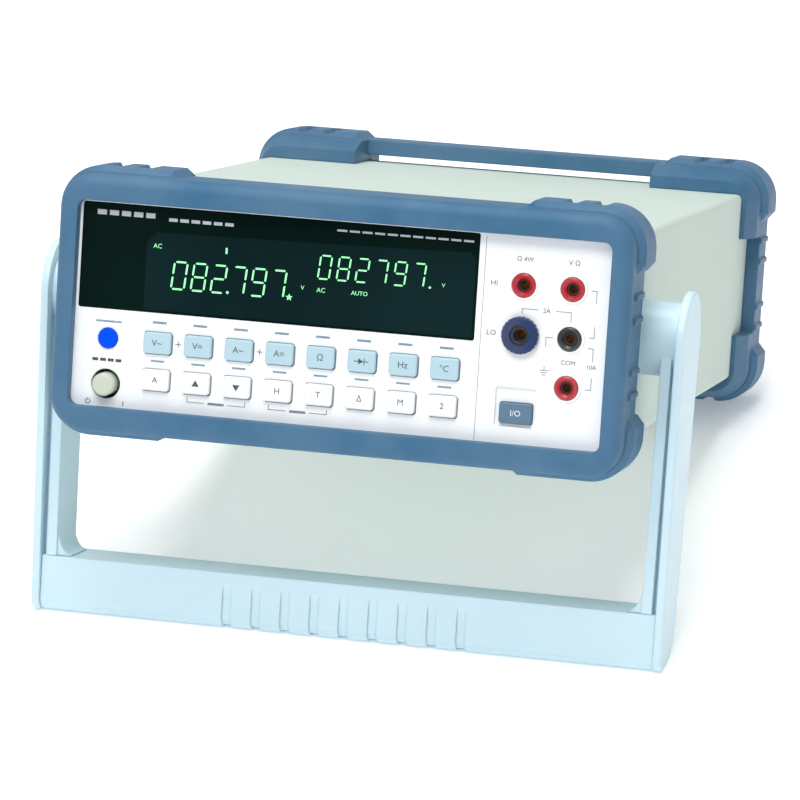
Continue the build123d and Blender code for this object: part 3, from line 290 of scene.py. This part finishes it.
OUTPUT_SLATE = moulded("output_slate", srgb(86, 118, 144), 0.4, 2200.0, 0.012, 0.35, 0.12, 0.04)
JACK_RED = moulded("jack_red", srgb(186, 6, 30), 0.24, 1200.0, 0.006, 0.3, 0.0, 0.06, Coat_Weight=0.15)
JACK_BLACK = moulded("jack_black", srgb(20, 22, 26), 0.25, 1200.0, 0.006, 0.3, 0.06, 0.06, Coat_Weight=0.3)
CARRIER_BLUE = moulded("carrier_blue", srgb(22, 48, 94), 0.34, 1200.0, 0.01, 0.3, 0.05, 0.06,
                       Specular_IOR_Level=0.2)
CONNECTOR_BLACK = moulded("connector_black", srgb(26, 26, 28), 0.5, 1500.0, 0.02, 0.3, 0.06, 0.06)
SWITCH_BLACK = moulded("switch_black", srgb(34, 34, 36), 0.45, 1500.0, 0.02, 0.2, 0.06, 0.06)
SLEEVE = moulded("capacitor_sleeve", srgb(34, 42, 74), 0.3, 900.0, 0.01, 0.4, 0.08, 0.06)
RIBBON = laminated("ribbon_cable_grey", srgb(154, 156, 160), (1600.0, 0.01, 0.01))
WINDOW = window_plastic("window_black", srgb(5, 26, 23), 0.05)
STEEL = metal("zinc_steel", srgb(188, 190, 192), 0.34)
NICKEL = metal("nickel_shell", srgb(206, 207, 206), 0.24)
BRASS = metal("gold_contact", srgb(204, 152, 88), 0.3)
REAR_METAL = moulded("rear_panel_sheet", srgb(186, 194, 188), 0.42, 1300.0, 0.03, 0.3, 0.06, 0.02)
CORE = laminated("core_laminations", srgb(96, 98, 102), (0.01, 1400.0, 0.01))
COIL = laminated("coil_tape", srgb(208, 178, 84), (0.01, 0.01, 500.0))
BOARD = circuit_board("solder_mask")
# grey ink for the panel's lines, also used for painted shade in the gap right of and below each key
INK_AND_KEY_SHADE = ink("panel_ink_grey_and_key_shade", srgb(112, 120, 128))
DARK_INK = ink("panel_ink_dark", srgb(34, 40, 50))
BLUE_INK = ink("panel_ink_blue", srgb(120, 146, 168))
WHITE_INK = ink("key_ink_white", srgb(236, 242, 246))
WINDOW_INK = ink("window_ink_silver", srgb(178, 188, 192))
PHOSPHOR = glow("phosphor_green", srgb(138, 228, 160), 1.15)
DISPLAY_FIELD = window_plastic("display_field", srgb(15, 38, 40), 0.05)
TUBE_GLASS = window_plastic("tube_glass", srgb(46, 66, 66), 0.5)
FUSE_GLASS = window_plastic("fuse_glass", srgb(200, 210, 210), 0.5)

NODE_MATERIALS = {
    "front_bumper": RUBBER, "rear_bumper": RUBBER, "top_cover": PAINT, "bottom_tray": PAINT,
    "front_bezel": BEZEL, "display_window": WINDOW, "rear_panel": REAR_METAL, "case_screws": STEEL,
    "pivot_screws": STEEL, "board_screws": STEEL, "handle_arm_left": HANDLE, "handle_arm_right": HANDLE,
    "handle_crossbar": HANDLE, "pivot_plate_left": PIVOT_PLASTIC, "pivot_plate_right": PIVOT_PLASTIC,
    "pivot_nut_plates": STEEL, "analog_shield": STEEL, "power_rod": STEEL, "display_board": BOARD,
    "main_board": BOARD, "display_tube": TUBE_GLASS, "key_switches": SWITCH_BLACK,
    "power_switch": SWITCH_BLACK, "range_relays": SWITCH_BLACK, "transformer_core": CORE,
    "transformer_coil": COIL, "filter_capacitors": SLEEVE, "ribbon_cable": RIBBON,
    "jack_sense_hi": JACK_RED, "jack_input_hi": JACK_RED, "jack_10a": JACK_RED, "jack_com": JACK_BLACK,
    "fuse_holder": JACK_BLACK, "jack_contacts": BRASS, "fuse_contact": BRASS, "fuse_carrier": CARRIER_BLUE,
    "input_fuse": FUSE_GLASS, "shift_button": SHIFT_BLUE, "power_button": POWER_BEIGE,
    "output_button": OUTPUT_SLATE, "mains_inlet": CONNECTOR_BLACK, "inlet_fuse_drawer": CONNECTOR_BLACK,
    "serial_port": NICKEL, "usb_port": NICKEL,
}
NODE_MATERIALS.update({f"key_{name}": FUNCTION_KEY for name in FUNCTION_KEYS})
NODE_MATERIALS.update({f"key_{name}": LOWER_KEY for name in LOWER_KEYS})


def dress_frame():
    """Give every CAD node its material."""
    for node, obj in frame["nodes"].items():
        obj.data.materials.clear()
        obj.data.materials.append(NODE_MATERIALS[node])


# ----------------------------------------------------------------------- artwork pieces
def around(centre, radius, angle):
    """A point on a circle, as an (x, z) pair."""
    return (centre[0] + radius * math.cos(angle), centre[1] + radius * math.sin(angle))


class Artwork:
    """Flat marks on a plane facing the user, gathered into one thin mesh piece."""

    def __init__(self, name, material, body, surface_y, thickness=0.04 * MM):
        self.thickness = thickness
        self.name = name
        self.material = material
        self.body = body
        self.y = surface_y
        self.mesh = bmesh.new()

    def polygon(self, points):
        """A closed outline, given as (x, z) pairs in metres, raised by the mark's thickness."""
        front = [self.mesh.verts.new((x, self.y - self.thickness, z)) for x, z in points]
        back = [self.mesh.verts.new((x, self.y + self.thickness, z)) for x, z in points]
        self.mesh.faces.new(front)
        self.mesh.faces.new(reversed(back))
        count = len(points)
        for i in range(count):
            j = (i + 1) % count
            self.mesh.faces.new((front[j], front[i], back[i], back[j]))

    def bar(self, start, end, width):
        """A straight stroke between two (x, z) points."""
        start, end = Vector(start), Vector(end)
        along = (end - start).normalized() * width / 2
        side = Vector((-along.y, along.x))
        a, b = start - along, end + along
        self.polygon([a + side, a - side, b - side, b + side])

    def path(self, points, width):
        """A run of straight strokes through several points."""
        for start, end in zip(points, points[1:]):
            self.bar(start, end, width)

    def arc(self, centre, radius, width, start, sweep, steps):
        """A stroke along a circular arc; angles run anticlockwise from the right."""
        for i in range(steps):
            first, second = (start + sweep * k / steps for k in (i, i + 1))
            self.polygon([
                around(centre, radius + reach * width, angle)
                for angle, reach in ((first, 0.5), (second, 0.5), (second, -0.5), (first, -0.5))
            ])

    def annulus(self, centre, inner, outer):
        """A flat closed ring."""
        steps = 40
        loops = []
        for radius, side in ((inner, -1), (outer, -1), (outer, 1), (inner, 1)):
            loops.append([
                self.mesh.verts.new((
                    centre[0] + radius * math.cos(math.tau * i / steps),
                    self.y + side * self.thickness,
                    centre[1] + radius * math.sin(math.tau * i / steps),
                ))
                for i in range(steps)
            ])
        for first, second in zip(loops, loops[1:] + loops[:1]):
            for i in range(steps):
                j = (i + 1) % steps
                self.mesh.faces.new((first[i], first[j], second[j], second[i]))

    def disc(self, centre, radius):
        """A small filled dot."""
        steps = 8
        self.polygon([around(centre, radius, math.tau * i / steps) for i in range(steps)])

    def text(self, words, centre, size):
        """Short generic lettering, centred, in the built-in font."""
        curve = bpy.data.curves.new("lettering", "FONT")
        curve.body = words
        curve.size = size
        curve.align_x = "CENTER"
        curve.align_y = "CENTER"
        curve.resolution_u = 3
        curve.extrude = self.thickness
        holder = bpy.data.objects.new("lettering", curve)
        bpy.context.scene.collection.objects.link(holder)
        bpy.context.view_layer.update()
        drawn = holder.evaluated_get(bpy.context.evaluated_depsgraph_get()).to_mesh()
        made = [
            self.mesh.verts.new((centre[0] + v.co.x, self.y - v.co.z, centre[1] + v.co.y))
            for v in drawn.vertices
        ]
        for face in drawn.polygons:
            self.mesh.faces.new([made[i] for i in face.vertices])
        holder.evaluated_get(bpy.context.evaluated_depsgraph_get()).to_mesh_clear()
        bpy.data.objects.remove(holder)
        bpy.data.curves.remove(curve)

    def finish(self):
        """Turn the marks into a piece that rides on its body."""
        bmesh.ops.recalc_face_normals(self.mesh, faces=self.mesh.faces)
        self.mesh.transform(CASE)
        data = bpy.data.meshes.new(self.name)
        self.mesh.to_mesh(data)
        self.mesh.free()
        data.materials.append(self.material)
        piece = bpy.data.objects.new(self.name, data)
        bpy.context.scene.collection.objects.link(piece)
        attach(piece, self.body)
        return piece


WINDOW_LOW, WINDOW_HIGH = case_box("display_window")
WINDOW_Y = WINDOW_LOW.y
PANEL_Y = WINDOW_Y - 0.1 * MM  # the window sits just below the panel's face


def mm(*values):
    """Millimetres to metres."""
    return tuple(value * MM for value in values)


# ------------------------------------------------------------------------------ readout
SEGMENTS = {"0": "abcdef", "2": "abdeg", "7": "abc", "8": "abcdefg", "9": "abcdfg"}
READING = "082797"
DIGIT_SLANT = 0.1  # sideways for each unit of height
# first figure's centre x and z, pitch of the figures, their width and height, stroke width (mm)
READOUTS = (
    (-66.0, 13.6, 8.1, 5.3, 10.8, 0.74),
    (-7.0, 21.8, 7.6, 4.5, 9.2, 0.64),
)
DECIMAL_POINTS = ((-46.0, 8.6, 0.6), (35.6, 17.4, 0.5))  # centre x and z, radius (mm)
# small lettering: words, centre x and z, size (mm)
READOUT_SIGNS = (
    ("AC", -75.5, 24.6, 2.6), ("V", -15.6, 13.0, 2.4), ("AC", -8.1, 12.6, 2.6),
    ("AUTO", 7.5, 12.6, 2.4), ("V", 41.0, 18.6, 2.2),
)
# rows of dashes: first dash's left end and z, number of dashes, pitch, length, height (mm)
WINDOW_DASHES = (
    (-101.0, 36.4, 5, 5.0, 3.8, 2.0), (-71.5, 35.4, 6, 4.6, 3.5, 1.3), (-3.0, 36.8, 11, 5.1, 4.1, 0.8),
)
FIELD_OUTLINE = (  # corners' x and z (mm)
    (-80.0, -0.9), (53.4, -0.9), (53.4, 30.5), (51.0, 32.5), (14.0, 31.5), (-76.0, 30.0), (-80.0, 26.0),
)
TICK_X, TICK_BOTTOM, TICK_TOP, TICK_WIDTH = -47.3, 24.2, 25.8, 0.8  # the short stroke over the figures (mm)
STAR_CENTRE = (-20.8, 8.8)
STAR_RADII = (1.5, 0.65)  # of its points and of the notches between them (mm)


def seven_segment(art, figure, centre, width, height, stroke):
    """One slanted seven-segment figure."""
    half_w, half_h = width / 2, height / 2
    gap = stroke * 0.35
    ends = {
        "a": ((-half_w, half_h), (half_w, half_h)),
        "b": ((half_w, half_h), (half_w, 0)),
        "c": ((half_w, 0), (half_w, -half_h)),
        "d": ((-half_w, -half_h), (half_w, -half_h)),
        "e": ((-half_w, -half_h), (-half_w, 0)),
        "f": ((-half_w, 0), (-half_w, half_h)),
        "g": ((-half_w, 0), (half_w, 0)),
    }
    for segment in SEGMENTS[figure]:
        start, end = (Vector(p) for p in ends[segment])
        along = (end - start).normalized()
        side = Vector((-along.y, along.x)) * stroke / 2
        start += along * (gap + stroke / 4)
        end -= along * (gap + stroke / 4)
        tip = along * stroke / 2
        outline = [start, start + tip + side, end - tip + side, end, end - tip - side, start + tip - side]
        art.polygon([(centre[0] + p.x + DIGIT_SLANT * p.y, centre[1] + p.y) for p in outline])


def readout():
    """The two six-figure readouts and their small signs, on the field that shows behind the window."""
    field = Artwork("display_field", DISPLAY_FIELD, "case", WINDOW_Y, 0.015 * MM)
    field.polygon([mm(x, z) for x, z in FIELD_OUTLINE])
    field.finish()
    art = Artwork("readout_figures", PHOSPHOR, "case", WINDOW_Y)
    for first_x, z, pitch, width, height, stroke in READOUTS:
        for i, figure in enumerate(READING):
            seven_segment(art, figure, mm(first_x + pitch * i, z), *mm(width, height, stroke))
    for x, z, radius in DECIMAL_POINTS:
        art.disc(mm(x, z), radius * MM)
    for words, x, z, size in READOUT_SIGNS:
        art.text(words, mm(x, z), size * MM)
    art.bar(mm(TICK_X, TICK_BOTTOM), mm(TICK_X, TICK_TOP), TICK_WIDTH * MM)
    art.polygon([
        mm(*around(STAR_CENTRE, STAR_RADII[i % 2], math.pi / 2 + i * math.tau / 10)) for i in range(10)
    ])
    art.finish()


def window_marks():
    """Plain dashes along the top of the window, where an instrument carries its printed names."""
    art = Artwork("window_marks", WINDOW_INK, "case", WINDOW_Y)
    for first_x, z, count, pitch, length, height in WINDOW_DASHES:
        for i in range(count):
            left = first_x + i * pitch
            art.bar(mm(left + height / 2, z), mm(left + length - height / 2, z), height * MM)
    art.finish()


# ---------------------------------------------------------------------------- key signs
def diode_sign(art, centre):
    """The diode symbol: a filled arrowhead against a bar, on a line."""
    half = 1.2 * MM
    line = 0.35 * MM
    art.polygon([
        (centre.x - half, centre.z - half),
        (centre.x + half * 0.8, centre.z),
        (centre.x - half, centre.z + half),
    ])
    art.bar((centre.x + half, centre.z - half), (centre.x + half, centre.z + half), line)
    for side in (-1, 1):
        art.bar((centre.x + side * (half + line), centre.z), (centre.x + side * 2.3 * half, centre.z), line)


def arrow_sign(art, centre, direction):
    """A filled triangle pointing up (1) or down (-1)."""
    half = 1.5 * MM
    base = centre.z - direction * half * 0.7
    art.polygon([(centre.x - half, base), (centre.x + half, base), (centre.x, centre.z + direction * half)])


def key_sign(key, sign, size, material=DARK_INK):
    """A generic sign on a key that is its own body: a diode, an arrow up or down, or short lettering."""
    art = Artwork(f"{key}_sign", material, key, case_box(key)[0].y)
    centre = middle(key)
    if sign == "diode":
        diode_sign(art, centre)
    elif sign in ("up", "down"):
        arrow_sign(art, centre, 1 if sign == "up" else -1)
    else:
        art.text(sign, (centre.x, centre.z), size * MM)
    art.finish()


def key_signs():
    """Signs on the sixteen keys and the output key."""
    for name, sign in zip(FUNCTION_KEYS, ("V~", "V=", "A~", "A=", "Ω", "diode", "Hz", "°C")):
        key_sign(f"key_{name}", sign, 3.6)
    for name, sign in zip(LOWER_KEYS, ("A", "up", "down", "H", "T", "Δ", "M", "2")):
        key_sign(f"key_{name}", sign, 3.4)
    key_sign("output_button", "I/O", 3.2, WHITE_INK)


# -------------------------------------------------------------------------- panel print and painted shade
LINE = 0.3 * MM
FLANGE = 0.45 * MM  # a key's hole ends this far inside the key's hidden flange
KEY_CORNER = 1.3 * MM
KEY_SHADE = 0.34 * MM  # width of the painted shade drawn in the gap beside a key
SEAM_WIDTH, SEAM_BOTTOM = 0.22 * MM, -40.6 * MM
SOCKETS = ("jack_sense_hi", "jack_input_hi", "jack_com", "jack_10a")
# inner and outer radius of the painted shade in each contact's mouth, a black ring round the contact
MOUTH_SHADE_INNER, MOUTH_SHADE_OUTER = 1.75 * MM, 2.55 * MM


def dashes(art, centre, offsets, half_length, width):
    """A row of short dashes about a centre; all but the centre in millimetres."""
    x, z = centre
    for offset in offsets:
        left, right = x + (offset - half_length) * MM, x + (offset + half_length) * MM
        art.bar((left, z), (right, z), width * MM)


def key_print(lines, labels):
    """Dashes over the keys, plus signs and brackets between them, and painted shade in the gap right of and
    below each key.
    """
    key_x = [middle(f"key_{name}").x for name in FUNCTION_KEYS]
    upper_low, upper_high = case_box("key_ac_volts")
    lower_low, lower_high = case_box("key_auto_range")
    for x in key_x:
        for left, right in ((-2.2, -0.6), (-0.1, 1.2), (1.7, 2.6)):
            for z, width in ((upper_high.z + 3.0 * MM, 0.93), (lower_high.z + 2.4 * MM, 0.75)):
                labels.bar((x + left * MM, z), (x + right * MM, z), width * MM)
    plus_z = (upper_low.z + upper_high.z) / 2
    for i in (0, 2):
        plus_x = (key_x[i] + key_x[i + 1]) / 2
        lines.bar((plus_x - 1.0 * MM, plus_z), (plus_x + 1.0 * MM, plus_z), LINE * 1.3)
        lines.bar((plus_x, plus_z - 1.0 * MM), (plus_x, plus_z + 1.0 * MM), LINE * 1.3)
    top, bottom = lower_low.z - 0.9 * MM, lower_low.z - 2.6 * MM
    for i in (1, 3):
        left, right = key_x[i] - 3.5 * MM, key_x[i + 1] + 3.5 * MM
        centre = (left + right) / 2
        lines.path([(left, top), (left, bottom), (centre - 5 * MM, bottom)], LINE)
        lines.path([(centre + 5 * MM, bottom), (right, bottom), (right, top)], LINE)
        dashes(lines, (centre, bottom), (-2.2, 0.0, 2.2), 0.6, 1.0)
    # painted shade: a grey line in the gap right of and below each key, where the key shades it
    for name in FUNCTION_KEYS + LOWER_KEYS:
        low, high = case_box(f"key_{name}")
        left, right = low.x + FLANGE, high.x - FLANGE
        bottom, top = low.z + FLANGE, high.z - FLANGE
        lines.bar((right, top - KEY_CORNER), (right, bottom + KEY_CORNER), KEY_SHADE)
        lines.bar((right - KEY_CORNER, bottom), (left + KEY_CORNER, bottom), KEY_SHADE)
        corner = (right - KEY_CORNER, bottom + KEY_CORNER)
        lines.arc(corner, KEY_CORNER, KEY_SHADE, -math.pi / 2, math.pi / 2, 6)


def terminal_print(lines, signs):
    """The terminal area's seam, the lines that link its sockets, the earth symbol and the lettering."""
    seam_x = WINDOW_HIGH.x + 2.6 * MM
    lines.bar((seam_x, WINDOW_HIGH.z - 1 * MM), (seam_x, SEAM_BOTTOM), SEAM_WIDTH)
    sense, signal, common, high_current = (middle(name) for name in SOCKETS)
    carrier = middle("fuse_carrier")
    start = signal.x + 7.6 * MM
    edge = signal.x + 9.6 * MM
    for z, run in (
        (signal.z, -4.6), (common.z + 1.2 * MM, 4.2), (common.z - 3 * MM, -5.0), (high_current.z, 4.6),
    ):
        lines.path([(start, z), (edge, z), (edge, z + run * MM)], LINE)
    bridge = carrier.z + 10.4 * MM
    lines.path([(carrier.x, carrier.z + 8.6 * MM), (carrier.x, bridge), (carrier.x + 6.4 * MM, bridge)], LINE)
    lines.path([(common.x - 6.0 * MM, bridge), (common.x, bridge), (common.x, common.z + 6.8 * MM)], LINE)
    earth_x = (carrier.x + common.x) / 2 + 0.4 * MM
    lines.path([(common.x - 6.6 * MM, common.z), (earth_x, common.z), (earth_x, common.z - 3.6 * MM)], LINE)
    lines.bar((earth_x, common.z - 11.6 * MM), (earth_x, common.z - 13.0 * MM), LINE)
    for drop, half in ((13.0, 1.8), (13.9, 1.2), (14.8, 0.6)):
        dashes(lines, (earth_x, common.z - drop * MM), (0.0,), half, 0.3)
    for words, x, z, size in (
        ("Ω 4W", sense.x, sense.z + 10.2 * MM, 2.6),
        ("V Ω", signal.x, signal.z + 10.2 * MM, 2.8),
        ("HI", sense.x - 11.8 * MM, sense.z, 3.0),
        ("LO", carrier.x - 11.8 * MM, carrier.z, 3.0),
        ("COM", common.x, common.z - 9.4 * MM, 2.6),
        ("2A", (carrier.x + common.x) / 2, bridge - 0.2 * MM, 2.6),
        ("10A", edge - 0.4 * MM, common.z - 10.4 * MM, 2.4),
    ):
        signs.text(words, (x, z), size * MM)


def round_button_print(labels, signs):
    """The power symbols and the dashes over the two round buttons."""
    power, shift = middle("power_button"), middle("shift_button")
    mark = (power.x - 7.0 * MM, power.z - 7.4 * MM)
    signs.arc(mark, 1.0 * MM, 0.3 * MM, math.radians(125), math.radians(290), 14)
    signs.bar((mark[0], mark[1] + 0.2 * MM), (mark[0], mark[1] + 1.2 * MM), 0.3 * MM)
    line_x = power.x + 7.6 * MM
    signs.bar((line_x, power.z - 8.2 * MM), (line_x, power.z - 6.6 * MM), 0.35 * MM)
    dashes(signs, (power.x, power.z + 9.6 * MM), (-4.8, -1.6, 1.6, 4.8), 0.6, 1.2)
    dashes(labels, (shift.x, shift.z + 6.7 * MM), (-4.0, -1.3, 1.3, 4.0), 0.9, 0.8)


def panel_print():
    """Everything printed on the panel, in three inks, with painted shade beside the keys in the grey one."""
    lines = Artwork("panel_lines_and_key_shade", INK_AND_KEY_SHADE, "case", PANEL_Y)
    labels = Artwork("panel_labels", BLUE_INK, "case", PANEL_Y)
    signs = Artwork("panel_signs", DARK_INK, "case", PANEL_Y)
    key_print(lines, labels)
    terminal_print(lines, signs)
    round_button_print(labels, signs)
    for artwork in (lines, labels, signs):
        artwork.finish()


def socket_mouth_shade():
    """Painted shade in the mouth of each contact, drawn as a black ring: in the four sockets and in the fuse
    carrier.
    """
    mouth_shades = Artwork("socket_mouth_shade", JACK_BLACK, "case", case_box("jack_contacts")[0].y)
    for name in SOCKETS:
        centre = middle(name)
        mouth_shades.annulus((centre.x, centre.z), MOUTH_SHADE_INNER, MOUTH_SHADE_OUTER)
    carrier_front = case_box("fuse_carrier")[0].y
    carrier = middle("fuse_carrier")
    insert = Artwork("carrier_insert", JACK_BLACK, "fuse_carrier", carrier_front + 1.1 * MM, 0.08 * MM)
    insert.annulus((carrier.x, carrier.z), 2.6 * MM, 3.9 * MM)
    # painted shade in the mouth of the carrier's contact
    carrier_shade = Artwork("carrier_mouth_shade", JACK_BLACK, "fuse_carrier", case_box("fuse_contact")[0].y)
    carrier_shade.annulus((carrier.x, carrier.z), MOUTH_SHADE_INNER, MOUTH_SHADE_OUTER)
    for piece in (mouth_shades, insert, carrier_shade):
        piece.finish()


# ------------------------------------------------------------------------ room and view
CAMERA_AZIMUTH = 13.556  # degrees to the right of straight ahead
CAMERA_ELEVATION = 21.241
CAMERA_ROLL = 0.201
CAMERA_DISTANCE = 2.0904
CAMERA_TARGET = PIVOT + Vector((-0.0147, 0.1152, -0.0824))
CAMERA_LENS = 217.98  # mm, on a sensor of the width below
SENSOR_WIDTH = 36.0
FAR_CLIP = 20.0
FLOOR_HALF = 4.0
FLOOR_GLOW = 0.27
ROOM_LIGHT, BACKDROP_LIGHT = 0.4, 1.0  # the world's strength on surfaces, and as seen by the camera
LIGHT_AIM = Vector((0, 0, 0.1))
LIGHTS = (  # name, place, diameter, watts
    ("key_light", Vector((-0.1, -1.2, 2.0)), 1.1, 26.0),
    ("top_light", Vector((-0.1, 0.2, 2.2)), 1.4, 25.0),
    ("front_fill", Vector((0.2, -2.2, 0.8)), 1.0, 2.0),
)


def add_camera():
    """The viewing angle: from the front right and above, through a long lens."""
    azimuth, elevation, roll = (math.radians(a) for a in (CAMERA_AZIMUTH, CAMERA_ELEVATION, CAMERA_ROLL))
    flat = math.cos(elevation)
    away = Vector((math.sin(azimuth) * flat, -math.cos(azimuth) * flat, math.sin(elevation)))
    across = Vector((math.cos(azimuth), math.sin(azimuth), 0))
    above = away.cross(across)
    right = across * math.cos(roll) + above * math.sin(roll)
    up = above * math.cos(roll) - across * math.sin(roll)
    data = bpy.data.cameras.new("camera")
    data.lens = CAMERA_LENS
    data.sensor_width = SENSOR_WIDTH
    data.clip_end = FAR_CLIP
    camera = bpy.data.objects.new("camera", data)
    turn = Matrix((right, up, away)).transposed().to_4x4()
    camera.matrix_world = Matrix.Translation(CAMERA_TARGET + away * CAMERA_DISTANCE) @ turn
    bpy.context.scene.collection.objects.link(camera)
    bpy.context.scene.camera = camera


def add_light(name, place, diameter, power):
    """A white disc light aimed at the middle of the object."""
    data = bpy.data.lights.new(name, "AREA")
    data.shape = "DISK"
    data.size = diameter
    data.energy = power
    light = bpy.data.objects.new(name, data)
    turn = (LIGHT_AIM - place).to_track_quat("-Z", "Y").to_matrix().to_4x4()
    light.matrix_world = Matrix.Translation(place) @ turn
    bpy.context.scene.collection.objects.link(light)


def add_floor():
    """A pale floor that glows a little, so that it stays white away from the lights."""
    mesh = bmesh.new()
    bmesh.ops.create_grid(mesh, x_segments=1, y_segments=1, size=FLOOR_HALF)
    data = bpy.data.meshes.new("floor")
    mesh.to_mesh(data)
    mesh.free()
    floor = bpy.data.objects.new("floor", data)
    bpy.context.scene.collection.objects.link(floor)
    pale = moulded("floor_white", srgb(250, 250, 250), 0.7, 300.0, 0.01, 0.1, 0.0, 0.004,
                   Emission_Color=(0.94, 0.98, 1.0, 1.0), Emission_Strength=FLOOR_GLOW)
    data.materials.append(pale)


def add_world():
    """An even pale surround, brighter to the camera than to the surfaces it lights."""
    world = bpy.data.worlds.new("studio")
    world.use_nodes = True
    sky = world.node_tree.nodes["Background"]
    sky.inputs["Color"].default_value = (0.96, 0.98, 1.0, 1.0)
    ray = world.node_tree.nodes.new("ShaderNodeLightPath")
    brightness = world.node_tree.nodes.new("ShaderNodeMapRange")
    brightness.inputs["To Min"].default_value = ROOM_LIGHT
    brightness.inputs["To Max"].default_value = BACKDROP_LIGHT
    world.node_tree.links.new(ray.outputs["Is Camera Ray"], brightness.inputs["Value"])
    world.node_tree.links.new(brightness.outputs["Result"], sky.inputs["Strength"])
    bpy.context.scene.world = world
    bpy.context.scene.view_settings.view_transform = "Standard"


def add_room():
    """A pale floor, an even surround, and soft studio light from above and in front."""
    add_floor()
    add_world()
    for name, place, diameter, power in LIGHTS:
        add_light(name, place, diameter, power)


dress_frame()
readout()
window_marks()
key_signs()
panel_print()
socket_mouth_shade()
add_room()
add_camera()
